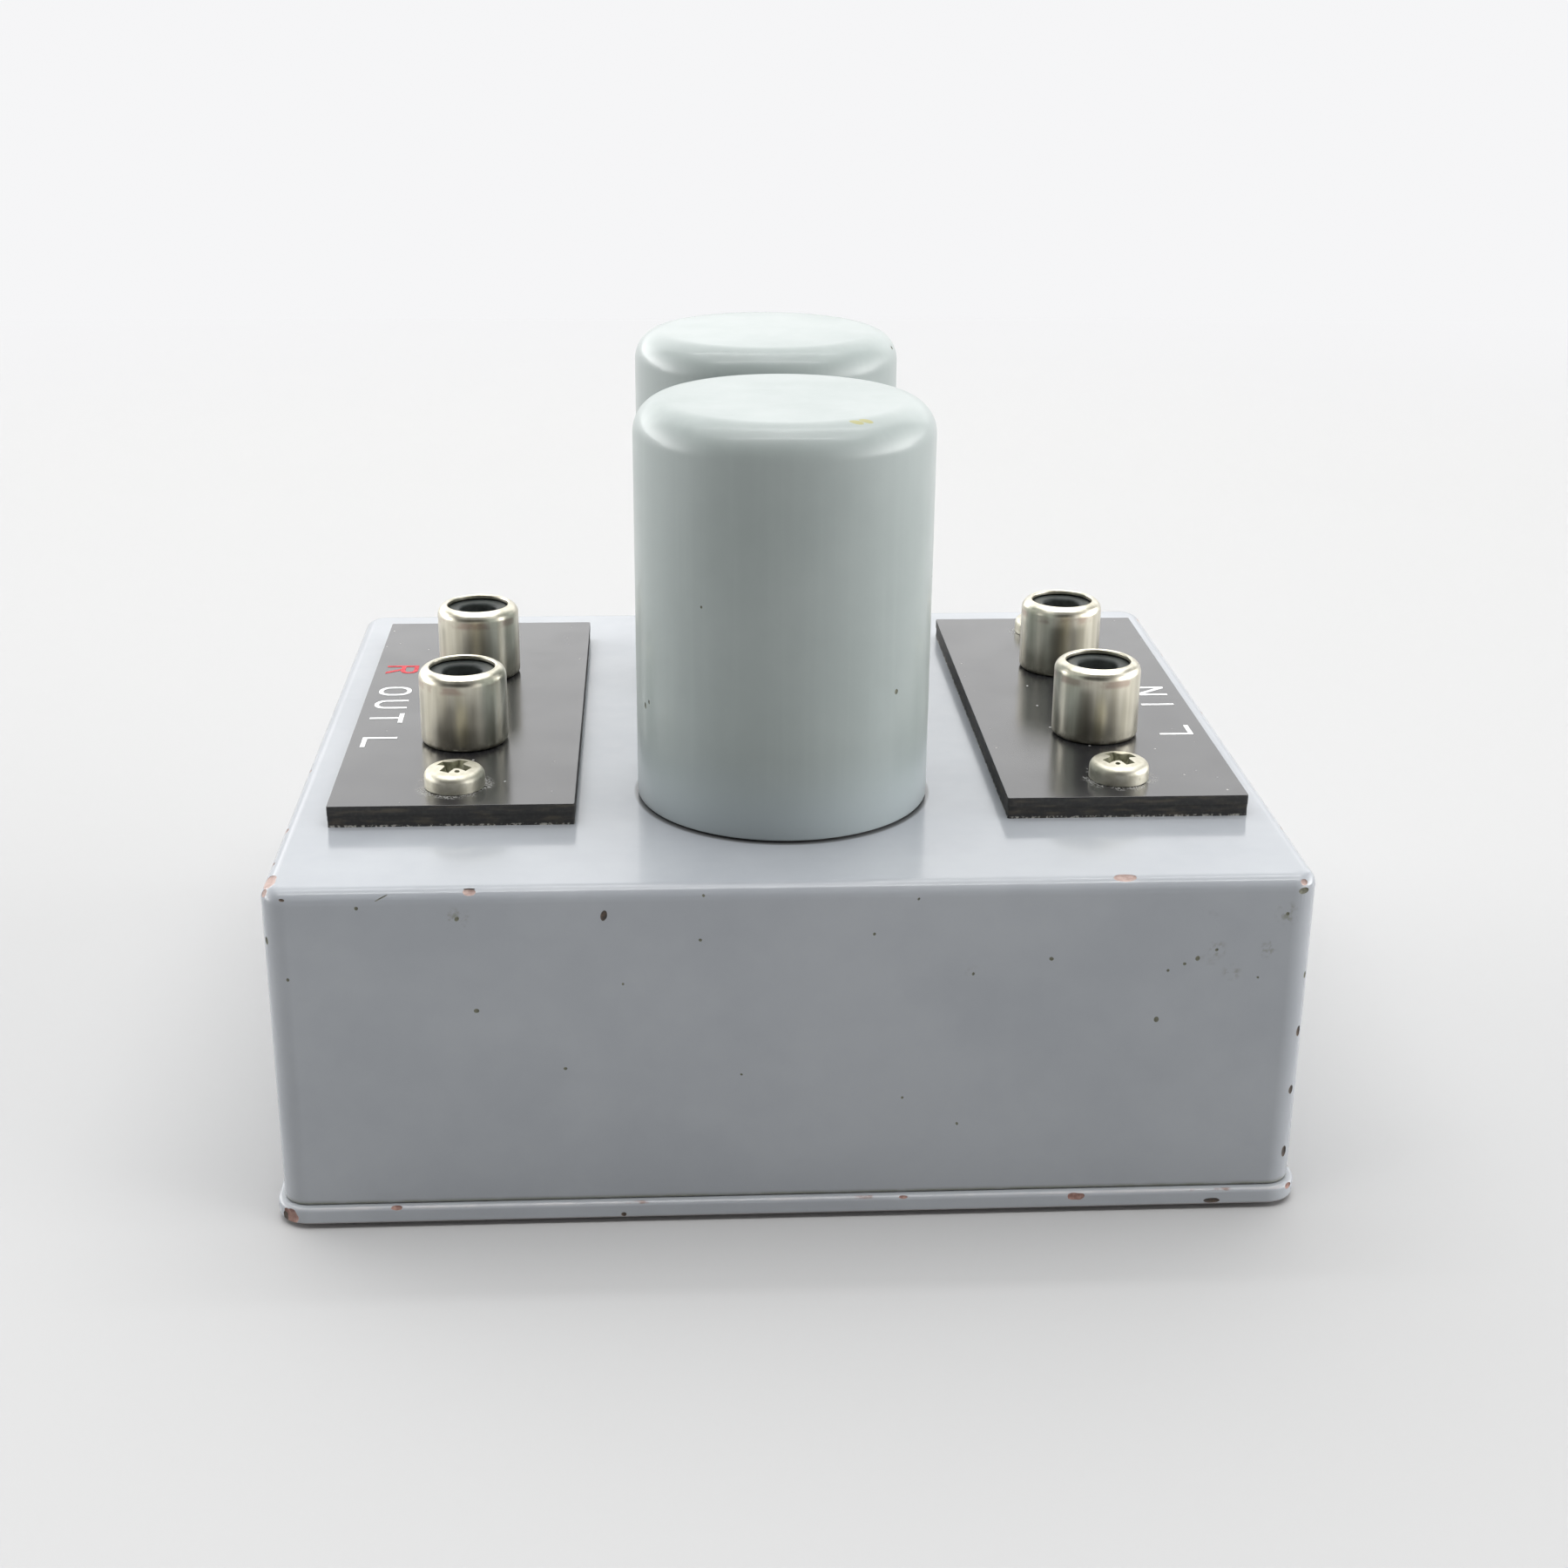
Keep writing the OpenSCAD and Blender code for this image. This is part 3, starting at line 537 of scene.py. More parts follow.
# finishes with one grain: two tones, grain size, gloss range, bump, and what else they need
grainLooks = {
    "primerChip": ((0.31, 0.215, 0.19), (0.43, 0.325, 0.29), 0.5, (0.55, 0.75), 0.02, {}),
    "plateChip": ((0.20, 0.105, 0.085), (0.33, 0.20, 0.165), 0.5, (0.55, 0.75), 0.02, {}),
    "rustChip": ((0.045, 0.038, 0.032), (0.10, 0.072, 0.055), 0.4, (0.6, 0.85), 0.03, {}),
    "pitChip": ((0.085, 0.085, 0.058), (0.16, 0.16, 0.115), 0.3, (0.5, 0.8), 0.01, {}),
    # the cross recess finish is dark: some grime and painted shade
    "recess": ((0.10, 0.10, 0.058), (0.21, 0.205, 0.13), 0.5, (0.45, 0.7), 0.02, {}),
    "insulator": ((0.024, 0.028, 0.027), (0.042, 0.048, 0.046), 1.2, (0.32, 0.44), 0.004, {"shine": 0.12}),
    "brass": ((0.72, 0.58, 0.32), (0.55, 0.42, 0.22), 1.5, (0.22, 0.38), 0.004, {"metal": 1.0, "stretch": (1, 1, 6)}),
    "zinc": ((0.62, 0.62, 0.61), (0.50, 0.50, 0.47), 2.0, (0.28, 0.45), 0.006, {"metal": 1.0}),
    "laminations": ((0.45, 0.45, 0.46), (0.24, 0.24, 0.25), 0.5, (0.35, 0.55), 0.02,
                    {"metal": 1.0, "stretch": (1, 14, 1)}),
    "copper": ((0.62, 0.27, 0.11), (0.38, 0.15, 0.06), 0.35, (0.25, 0.4), 0.03,
               {"metal": 1.0, "stretch": (0.2, 0.2, 3)}),
    "bobbin": ((0.74, 0.71, 0.63), (0.66, 0.62, 0.53), 3.0, (0.4, 0.55), 0.008, {}),
    "wax": ((0.17, 0.105, 0.05), (0.11, 0.07, 0.035), 4.0, (0.35, 0.6), 0.03, {}),
    "rubber": ((0.020, 0.020, 0.020), (0.040, 0.040, 0.038), 0.8, (0.6, 0.8), 0.015, {}),
    "redSleeve": ((0.46, 0.05, 0.04), (0.34, 0.035, 0.03), 2.0, (0.4, 0.55), 0.006, {}),
    "whiteSleeve": ((0.76, 0.75, 0.71), (0.66, 0.64, 0.58), 2.0, (0.4, 0.55), 0.006, {}),
    "blackSleeve": ((0.020, 0.020, 0.021), (0.040, 0.040, 0.040), 2.0, (0.4, 0.55), 0.006, {}),
    "whiteInk": ((0.80, 0.81, 0.81), (0.66, 0.67, 0.67), 0.5, (0.5, 0.7), 0.006, {}),
    "redInk": ((0.60, 0.030, 0.045), (0.45, 0.022, 0.032), 0.5, (0.5, 0.7), 0.006, {}),
}


def grainFinish(name, tone, otherTone, size, gloss, bump, more):
    made, tree, shader, point = startFinish(name, {
        "Metallic": more.get("metal", 0.0), "Specular IOR Level": more.get("shine", 0.5)})
    grain = noiseOf(tree, point, size, 4.0, more.get("stretch"))
    wire(tree, shader, blend(tree, remap(tree, grain, 0.34, 0.66), tone, otherTone),
         remap(tree, grain, 0.3, 0.7, *gloss), bumpOf(tree, grain, bump))
    return made


finishes = {name: grainFinish(name, *look) for name, look in grainLooks.items()}
for finishName, makeFinish, finishLook in (
        ("caseEnamel", enamel, caseEnamelLook), ("plateEnamel", enamel, plateEnamelLook),
        ("canEnamel", enamel, canEnamelLook), ("boardFace", boardFaceFinish, boardFaceLook),
        ("boardCore", boardCoreFinish, boardCoreLook), ("nickel", nickelFinish, nickelLook),
        ("screwNickel", screwFinish, screwLook)):
    finishes[finishName] = makeFinish(finishName, finishLook)
print(len(finishes), "finishes ready")


# Geometry Nodes: steps that the trees share
def realOf(tree, geometry):
    return nodeOut(tree, "GeometryNodeRealizeInstances", {0: geometry})


def dressedIn(tree, geometry, finish):
    return nodeOut(tree, "GeometryNodeSetMaterial", {"Geometry": geometry, "Material": finish})


def shapeOf(tree, source):
    return addNode(tree, "GeometryNodeObjectInfo", {"Object": source}).outputs["Geometry"]


def placeOf(tree):
    return tree.nodes.new("GeometryNodeInputPosition").outputs[0]


def cutAway(tree, body, cutters):
    cut = addNode(tree, "GeometryNodeMeshBoolean", {"Mesh 1": body}, operation="DIFFERENCE", solver="EXACT")
    for cutter in cutters:
        tree.links.new(cutter, cut.inputs["Mesh 2"])
    return cut.outputs["Mesh"]


gridSockets = {"Columns": "Int", "Rows": "Int", "Width": "Float", "Depth": "Float", "Centre": "Vector"}


def onGrid(tree, given, shape, **turned):
    spots = addNode(tree, "GeometryNodeMeshGrid", {
        "Size X": given["Width"], "Size Y": given["Depth"],
        "Vertices X": given["Columns"], "Vertices Y": given["Rows"]}).outputs["Mesh"]
    put = nodeOut(tree, "GeometryNodeInstanceOnPoints", {"Points": spots, "Instance": shape, **turned})
    return nodeOut(tree, "GeometryNodeTransform", {"Geometry": put, "Translation": given["Centre"]})


# a profile turned round its axis and set out on a grid
def turnedTree():
    tree, given, result = geometryTree("turnedParts", {"Steps": "Int", **gridSockets, "Finish": "Material"})
    profile = given["Geometry"]
    rows = addNode(tree, "GeometryNodeAttributeDomainSize", {0: profile}).outputs["Point Count"]
    across = plus(tree, given["Steps"], 1.0)
    skin = addNode(tree, "GeometryNodeMeshGrid", {"Vertices X": rows, "Vertices Y": across}).outputs["Mesh"]
    index = tree.nodes.new("GeometryNodeInputIndex").outputs[0]
    row = calc(tree, "FLOOR", calc(tree, "DIVIDE", plus(tree, index, 0.5), across))
    column = minus(tree, index, times(tree, row, across))
    angle = times(tree, column, calc(tree, "DIVIDE", 2 * math.pi, given["Steps"]))
    taken = addNode(tree, "GeometryNodeSampleIndex", {"Geometry": profile, "Value": placeOf(tree), "Index": row},
                    data_type="FLOAT_VECTOR", domain="POINT")
    parts = splitOf(tree, taken.outputs["Value"])
    turned = nodeOut(tree, "ShaderNodeCombineXYZ", {
        "X": times(tree, parts["X"], calc(tree, "COSINE", angle)),
        "Y": times(tree, parts["X"], calc(tree, "SINE", angle)), "Z": parts["Z"]})
    bent = nodeOut(tree, "GeometryNodeSetPosition", {"Geometry": skin, "Position": turned})
    closed = nodeOut(tree, "GeometryNodeMergeByDistance", {"Geometry": bent, "Distance": weldGap})
    tree.links.new(dressedIn(tree, realOf(tree, onGrid(tree, given, closed)), given["Finish"]), result)
    return tree


# holes, lumpy chips and small pits cut out of a piece
def cutTree(lumpSize=0.75):
    tree, given, result = geometryTree("cutParts", {
        "Holes": "Object", "Chips": "Object", "Pits": "Object", "Bare": "Object", "Chip Finish": "Material",
        "Pit Finish": "Material", "Bare Finish": "Material", "Lumps": "Float", "Seed": "Int"})
    ball = addNode(tree, "GeometryNodeMeshIcoSphere", {"Radius": 1.0, "Subdivisions": 3}).outputs["Mesh"]
    cutters = [shapeOf(tree, given["Holes"])]

    def ownValue(label, kind):
        return nodeOut(tree, "GeometryNodeInputNamedAttribute", {"Name": label}, data_type=kind)

    for source, finish in (("Chips", "Chip Finish"), ("Pits", "Pit Finish"), ("Bare", "Bare Finish")):
        turn = nodeOut(tree, "FunctionNodeEulerToRotation", {0: ownValue("chipTurn", "FLOAT_VECTOR")})
        put = nodeOut(tree, "GeometryNodeInstanceOnPoints", {
            "Points": shapeOf(tree, given[source]), "Instance": ball, "Rotation": turn,
            "Scale": ownValue("chipSize", "FLOAT_VECTOR")})
        rough = addNode(tree, "ShaderNodeTexNoise", {
            "Vector": placeOf(tree), "Scale": 1 / (lumpSize * mm), "W": given["Seed"], "Detail": 2.0},
            noise_dimensions="4D").outputs["Color"]
        swing = vectorCalc(tree, "SUBTRACT", rough, (0.5, 0.5, 0.5))
        push = pushAlong(tree, swing, times(tree, ownValue("chipReach", "FLOAT"), given["Lumps"]))
        lumpy = nodeOut(tree, "GeometryNodeSetPosition", {"Geometry": realOf(tree, put), "Offset": push})
        cutters.append(dressedIn(tree, lumpy, given[finish]))
    tree.links.new(realOf(tree, cutAway(tree, given["Geometry"], cutters)), result)
    return tree


# the sawn side of a board, rough below its smooth face
def sawnTree():
    tree, given, result = geometryTree("sawnEdge", {
        "Depth": "Float", "Below": "Float", "Grain": "Float", "Seed": "Int"})
    place = placeOf(tree)
    chosen = nodeOut(tree, "FunctionNodeCompare", {0: splitOf(tree, place)["Z"], 1: given["Below"]},
                     data_type="FLOAT", operation="LESS_THAN")
    rough = addNode(tree, "ShaderNodeTexNoise", {
        "Vector": place, "Scale": given["Grain"], "W": given["Seed"], "Detail": 4.0},
        noise_dimensions="4D").outputs["Fac"]
    outward = vectorCalc(tree, "MULTIPLY", tree.nodes.new("GeometryNodeInputNormal").outputs[0], (1, 1, 0))
    push = pushAlong(tree, outward, times(tree, minus(tree, remap(tree, rough, 0.3, 0.7), 1.0), given["Depth"]))
    sawn = nodeOut(tree, "GeometryNodeSetPosition", {
        "Geometry": given["Geometry"], "Selection": chosen, "Offset": push})
    tree.links.new(realOf(tree, sawn), result)
    return tree


# pan screws with a worn cross, each turned its own way
def screwTree():
    tree, given, result = geometryTree("panScrews", {
        "Cross": "Object", **gridSockets, "Turn": "Float", "Lean": "Float", "Spread": "Float", "Seed": "Int",
        "Finish": "Material", "Recess Finish": "Material"})
    blank = dressedIn(tree, given["Geometry"], given["Finish"])
    # the cross recess is painted dark: some grime and painted shade
    grimeAndShadeRecess = dressedIn(tree, shapeOf(tree, given["Cross"]), given["Recess Finish"])
    swing = addNode(tree, "FunctionNodeRandomValue", {2: -1.0, 3: 1.0, "Seed": given["Seed"]},
                    data_type="FLOAT").outputs[1]
    side = calc(tree, "SIGN", splitOf(tree, placeOf(tree))["X"])
    lean = minus(tree, given["Turn"], times(tree, side, given["Lean"]))
    angle = plus(tree, lean, times(tree, swing, given["Spread"]))
    turn = nodeOut(tree, "FunctionNodeEulerToRotation", {
        0: nodeOut(tree, "ShaderNodeCombineXYZ", {"Z": angle})})
    screws = onGrid(tree, given, cutAway(tree, blank, [grimeAndShadeRecess]), Rotation=turn)
    tree.links.new(realOf(tree, screws), result)
    return tree


turnedParts, cutParts, sawnEdge, panScrews = turnedTree(), cutTree(), sawnTree(), screwTree()
print("node trees built")


# shapes drawn in millimetres
def arc(centre, radius, start, end, steps):
    angles = [math.radians(start + (end - start) * step / steps) for step in range(steps + 1)]
    return [(centre[0] + radius * math.cos(angle), centre[1] + radius * math.sin(angle)) for angle in angles]


def turned(name, outline, finish, spread, steps=96, close=True):
    points = [(radius, 0, height) for radius, height in outline]
    if close:
        points.append(points[0])
    profile = meshOf(name + "Profile", points, [], [(i, i + 1) for i in range(len(points) - 1)])
    centre, columns, rows, width, depth = spread
    return growMesh(name, profile, turnedParts, {
        "Steps": steps, "Columns": columns, "Rows": rows, "Width": width * mm, "Depth": depth * mm,
        "Centre": [value * mm for value in centre], "Finish": finishes[finish]})


def ringPoints(width, depth, corner, cornerSteps, cuts):
    points = []
    halfX, halfY = width / 2 - corner, depth / 2 - corner
    corners = ((halfX, halfY, 0), (-halfX, halfY, 90), (-halfX, -halfY, 180), (halfX, -halfY, 270))
    for number, (middleX, middleY, start) in enumerate(corners):
        bend = arc((middleX, middleY), corner, start, start + 90, cornerSteps)
        points += bend
        nextX, nextY, nextStart = corners[(number + 1) % 4]
        following = arc((nextX, nextY), corner, nextStart, nextStart + 90, 1)[0]
        pieces = cuts[number % 2]
        for step in range(1, pieces):
            share = step / pieces
            points.append((bend[-1][0] + (following[0] - bend[-1][0]) * share,
                           bend[-1][1] + (following[1] - bend[-1][1]) * share))
    return points


def skinFaces(around, levels):
    # four-sided faces between the rings, and a cap at each end
    faces = []
    for level in range(levels - 1):
        for step in range(around):
            after = (step + 1) % around
            faces.append((level * around + step, level * around + after,
                          (level + 1) * around + after, (level + 1) * around + step))
    return faces + [tuple(reversed(range(around))), tuple(range((levels - 1) * around, levels * around))]


def loft(name, centre, width, depth, corner, rows, cornerSteps=8, cuts=(1, 1)):
    points = []
    for inset, height in rows:
        ring = ringPoints(width - 2 * inset, depth - 2 * inset, max(corner - inset, 0.02), cornerSteps, cuts)
        points += [(x + centre[0], y + centre[1], height) for x, y in ring]
    return meshOf(name, points, skinFaces(len(points) // len(rows), len(rows)))


def roundedTop(inset, top, radius, steps=8):
    return [(inset + radius * (1 - math.cos(math.pi / 2 * step / steps)),
             top - radius + radius * math.sin(math.pi / 2 * step / steps)) for step in range(steps + 1)]


def boresAt(spots, low, high, radius):
    return [(spot[0], spot[1], low, high, radius, radius) for spot in spots]


def holeCutters(name, holes, finish, sides=64):
    shape = bmesh.new()
    for x, y, low, high, lowRadius, highRadius in holes:
        turn = Matrix.Translation(Vector((x, y, (low + high) / 2)) * mm)
        bmesh.ops.create_cone(shape, cap_ends=True, segments=sides, radius1=lowRadius * mm, radius2=highRadius * mm,
                              depth=(high - low) * mm, matrix=turn)
    made = bpy.data.meshes.new(name)
    shape.to_mesh(made)
    shape.free()
    made.materials.append(finishes[finish])
    return holdMesh(name, made)


def chipCloud(name, chips, surface):
    # each chip lies on the nearest point of the piece, facing out of it
    shape = bmesh.new()
    shape.from_mesh(surface)
    bmesh.ops.recalc_face_normals(shape, faces=shape.faces)
    skin = BVHTree.FromBMesh(shape)
    places, sizes, turns, reaches = [], [], [], []
    for x, y, z, along, across, deep, spin in chips:
        spot, normal, face, gap = skin.find_nearest(Vector((x, y, z)) * mm)
        side = Vector((0, 0, 1)).cross(normal)
        side = side.normalized() if side.length > 0.1 else Vector((1, 0, 0))
        axes = Matrix((side, normal.cross(side), normal)).transposed() @ Matrix.Rotation(math.radians(spin), 3, "Z")
        places.append(spot)
        sizes += [along * mm, across * mm, deep * mm]
        turns += list(axes.to_euler())
        reaches.append(min(along, across) * mm)
    shape.free()
    made = bpy.data.meshes.new(name)
    made.from_pydata(places, [], [])
    for label, kind, key, values in (("chipSize", "FLOAT_VECTOR", "vector", sizes),
                                     ("chipTurn", "FLOAT_VECTOR", "vector", turns),
                                     ("chipReach", "FLOAT", "value", reaches)):
        made.attributes.new(label, kind, "POINT").data.foreach_set(key, values)
    return holdMesh(name, made)


def cutPiece(name, mesh, holes, marks, holeFinish, lumps, seed, chipFinish="primerChip"):
    cutters = {"Holes": holeCutters(name + "Holes", holes, holeFinish)}
    for kind, chips in zip(("Chips", "Pits", "Bare"), marks):
        cutters[kind] = chipCloud(name + kind, chips, mesh)
    made = growMesh(name, mesh, cutParts, {
        **cutters, "Chip Finish": finishes[chipFinish], "Pit Finish": finishes["pitChip"],
        "Bare Finish": finishes["rustChip"], "Lumps": lumps, "Seed": seed})
    for cutter in cutters.values():
        bpy.data.objects.remove(cutter)
    return made


def onSide(number, along, low, high):
    # a spot on the left, right or rear side
    size = high - low
    return ((low.x, along * size.y), (high.x, along * size.y), (along * size.x, high.y))[number]


# places of the jacks, screws and cans, read from the frame
def middleOf(node):
    low, high = boxMm(node)
    return (low + high) / 2


def jackNodes(kind):
    return [f"{side}_{end}_{kind}" for side in ("out", "in") for end in ("front", "rear")]


jackSpots = [middleOf(node) for node in jackNodes("shell")]
canSpots = [middleOf(f"{end}_can") for end in ("front", "rear")]
boardTop = boxMm("out_board")[1].z
screwLow, screwHigh = boxMm("board_screws")
headRadius = 2.75
screwSpots = [(x, y) for x in (screwLow.x + headRadius, screwHigh.x - headRadius)
              for y in (screwLow.y + headRadius, screwHigh.y - headRadius)]
print("jacks at", [tuple(round(value, 2) for value in spot[:2]) for spot in jackSpots])


# case: one sheet steel box, open below, with two fixing lips
# a mark is its place, half length, half width, depth and turn; a speck its place across, height and size
caseLook = {
    "corner": 2.4, "edge": 1.3, "sheet": 1.2, "rim": 0.3, "bands": 6, "panels": (14, 12), "holeReach": (3, 1),
    "lip": (10.2, 60.0), "lipCorner": 0.8, "lipEdge": 0.2, "lipOverlap": 0.05,
    "jackHole": 5.5, "bushHole": 3.55, "boltHole": 1.7, "studReach": 9.45, "baseScrew": (39.3, 24.0), "tapHole": 1.5,
    "lumps": 0.35, "seed": 7, "speckSize": 0.85,
    "chips": [(-27.4, -39.6, 31.3, 0.55, 0.36, 0.16, 0), (28.1, -39.15, 31.5, 1.0, 0.55, 0.17, 4),
              (43.55, -39.6, 31.05, 0.35, 0.30, 0.12, 0), (-44.2, -37.3, 31.45, 1.4, 0.85, 0.20, 10),
              (-44.65, -38.6, 31.1, 0.45, 0.4, 0.15, 0)],
    "pits": [(-34.6, -39.8, 31.0, 0.80, 0.06, 0.05, 28), (43.5, -39.9, 30.35, 0.58, 0.30, 0.12, 0),
             (44.5, -39.0, 22.0, 0.22, 0.32, 0.10, 0), (-44.6, -38.95, 26.8, 0.25, 0.36, 0.10, 0)],
    "bare": [(-42.95, -39.85, 30.9, 0.26, 0.12, 0.08, -8), (-16.2, -40, 29.1, 0.28, 0.50, 0.10, -12),
             (44.4, -39.2, 16.6, 0.32, 0.52, 0.13, 0), (44.2, -39.4, 10.9, 0.32, 0.42, 0.13, 0),
             (44.1, -39.5, 4.7, 0.32, 0.56, 0.13, 0), (-27.4, -39.35, 31.45, 0.50, 0.09, 0.10, 0)],
    "specks": [(-36.8, 30.1, 0.20), (-28.5, 29.0, 0.22), (-42.9, 23.6, 0.16), (-27.2, 20.4, 0.28),
               (-19.8, 14.7, 0.20), (-4.6, 13.8, 0.14), (-14.7, 22.7, 0.13), (-8.1, 26.7, 0.18), (-7.8, 30.8, 0.14),
               (6.7, 27.0, 0.15), (10.4, 30.2, 0.12), (15.3, 23.1, 0.14), (22.0, 24.4, 0.24), (32.2, 23.1, 0.16),
               (33.6, 23.7, 0.18), (34.7, 24.2, 0.24), (36.3, 25.0, 0.16), (40.1, 22.3, 0.14), (31.5, 18.4, 0.26),
               (42.2, 28.3, 0.18), (9.5, 11.2, 0.14), (14.4, 8.5, 0.14)],
    "otherSpecks": 16, "otherChips": 4, "cornerPits": 3,
}


def caseMarks(look, low, high):
    draw = random.Random(look["seed"])
    chips, pits = list(look["chips"]), list(look["pits"])
    for x, z, wide in look["specks"]:
        pits.append((x, low.y, z, wide * look["speckSize"], wide * draw.uniform(0.7, 1.2), 0.05,
                     draw.uniform(-40, 40)))
    for number in range(3):  # left, right and rear sides carry their own marks
        for mark in range(look["otherSpecks"]):
            along, height, wide = draw.uniform(-0.46, 0.46), draw.uniform(3.5, 29), draw.uniform(0.10, 0.22)
            pits.append((*onSide(number, along, low, high), height, wide, wide * draw.uniform(0.8, 1.6), 0.08,
                         draw.uniform(-60, 60)))
        for mark in range(look["otherChips"]):
            along, wide = draw.uniform(-0.47, 0.47), draw.uniform(0.25, 0.75)
            chips.append((*onSide(number, along, low, high), high.z, wide, wide * 0.6, 0.14, draw.uniform(-10, 10)))
    for x in (low.x, high.x):  # rear corners are the most knocked
        chips.append((x, high.y, high.z, 0.9, 0.7, 0.2, 0))
        for mark in range(look["cornerPits"]):
            pits.append((x, high.y, draw.uniform(4, 28), 0.3, draw.uniform(0.3, 0.6), 0.13, 0))
    return chips, pits, look["bare"]


def fixingLip(look, side, low, high):
    sheet, (wide, long), (screwX, screwY) = look["sheet"], look["lip"], look["baseScrew"]
    spots = [(side * screwX, -screwY), (side * screwX, screwY)]
    drill = holeCutters("lipHoles", boresAt(spots, low.z - 1, low.z + sheet + 1, look["tapHole"]), "rustChip", 40)
    centre = (side * (high.x - sheet + look["lipOverlap"] - (wide - sheet) / 2), 0)
    rows = [(0, low.z), (0, low.z + sheet - look["lipEdge"]), (look["lipEdge"], low.z + sheet)]
    bar = loft("lipBar", centre, wide - sheet, long, look["lipCorner"], rows, 5)
    bar.materials.append(finishes["caseEnamel"])
    drilled = holdMesh("lipBar", bar)
    drilled.modifiers.new("drill", "BOOLEAN").object = drill
    made = plainMesh(drilled)
    bpy.data.objects.remove(drilled)
    bpy.data.objects.remove(drill)
    return made


def buildCase(look):
    low, high = boxMm("case_shell")
    middle, size = (low + high) / 2, high - low
    sheet, rim, bands = look["sheet"], look["rim"], look["bands"]
    rows = [(sheet, high.z - sheet), (sheet, low.z), (rim, low.z), (rim * 0.3, low.z + rim * 0.3), (0, low.z + rim)]
    rows += [(0, low.z + (size.z - look["edge"]) * step / bands) for step in range(1, bands)]
    rows += roundedTop(0, high.z, look["edge"])
    shell = loft("caseShell", middle, size.x, size.y, look["corner"], rows, 10, look["panels"])
    shell.materials.append(finishes["caseEnamel"])
    studs = [(spot.x, spot.y + reach) for spot in canSpots for reach in (-look["studReach"], look["studReach"])]
    below, above = look["holeReach"]
    holes = []
    for spots, key in ((jackSpots, "jackHole"), (canSpots, "bushHole"), (screwSpots + studs, "boltHole")):
        holes += boresAt(spots, high.z - below, high.z + above, look[key])
    cut = cutPiece("caseBody", shell, holes, caseMarks(look, low, high), "rustChip", look["lumps"], look["seed"])
    joined = bmesh.new()
    joined.from_mesh(cut)
    for side in (-1, 1):
        joined.from_mesh(fixingLip(look, side, low, high))
    joined.to_mesh(cut)
    joined.free()
    return finishPiece("caseBody", cut, "case_paint", "case_shell", flats=True)


buildCase(caseLook)


# base plate, a little wider than the case, with countersunk holes below
plateLook = {
    "corner": 3.0, "edge": 0.4, "foot": 0.28, "screw": (39.3, 24.0), "sink": (2.85, 1.7, 1.35),
    "sinkOver": (0.2, 0.3, 0.5), "lumps": 0.6, "seed": 12,
    "chips": [(-44.35, -40.1, 0.7, 0.95, 0.75, 0.22, 0), (-34.9, -40.5, 1.5, 0.5, 0.26, 0.14, 0),
              (9.8, -40.55, 1.5, 0.4, 0.16, 0.1, 0), (25.3, -40.6, 1.2, 0.80, 0.46, 0.14, 0)],
    "bare": [(37.6, -40.6, 0.45, 0.75, 0.26, 0.12, 0), (-15.0, -40.6, 0.4, 0.25, 0.2, 0.1, 0),
             (-44.7, -39.7, 0.5, 0.5, 0.5, 0.15, 0)],
    "otherMarks": 12, "cornerIn": 0.6,
}


def buildPlate(look):
    low, high = boxMm("base_plate")
    middle, size = (low + high) / 2, high - low
    foot = look["foot"]
    rows = [(foot - x, low.z + foot - z) for x, z in arc((0, 0), foot, 90, 0, 6)]
    rows += roundedTop(0, high.z, look["edge"], 6)
    plate = loft("plate", middle, size.x, size.y, look["corner"], rows, 10)
    plate.materials.append(finishes["plateEnamel"])
    wide, narrow, deep = look["sink"]
    under, lap, over = look["sinkOver"]
    slope = (wide - narrow) / deep
    holes = []
    for x in (-look["screw"][0], look["screw"][0]):
        for y in (-look["screw"][1], look["screw"][1]):
            holes.append((x, y, low.z - under, low.z + deep, wide + under * slope, narrow))
            holes.append((x, y, low.z + deep - lap, high.z + over, narrow, narrow))
    draw = random.Random(look["seed"])
    chips, bare = list(look["chips"]), list(look["bare"])
    for mark in range(look["otherMarks"]):
        along, wide = draw.uniform(-0.48, 0.48), draw.uniform(0.25, 0.6)
        spot = onSide(mark % 3, along, low, high)
        (chips if mark % 2 else bare).append((*spot, draw.uniform(0.3, 1.6), wide, wide * 0.6, 0.13, 0))
    cornerX, nearIn = high.x - look["cornerIn"], look["cornerIn"]
    chips += [(cornerX, high.y - nearIn, 0.8, 0.8, 0.7, 0.2, 0), (cornerX, low.y + nearIn, 1.4, 0.5, 0.3, 0.15, 0)]
    cut = cutPiece("basePlate", plate, holes, (chips, [], bare), "rustChip", look["lumps"], look["seed"], "plateChip")
    return finishPiece("basePlate", cut, "case_paint", "base_plate", flats=True)


buildPlate(plateLook)


# transformer cans, drawn from sheet, with a soft rounded shoulder
canLook = {
    "wall": 0.8, "shoulder": 3.0, "foot": 0.18, "steps": 144, "lumps": 0.35, "seed": 21,
    "pits": [(-12.56, -22.06, 41.55, 0.20, 0.30, 0.07, 10), (-12.24, -22.85, 42.15, 0.14, 0.2, 0.07, 0),
             (9.46, -26.89, 44.27, 0.22, 0.24, 0.08, 0), (-7.64, -28.41, 52.58, 0.11, 0.13, 0.06, 0),
             (12.47, 14.51, 66.9, 0.3, 0.2, 0.1, 0)],
    "otherSpecks": 14,
}


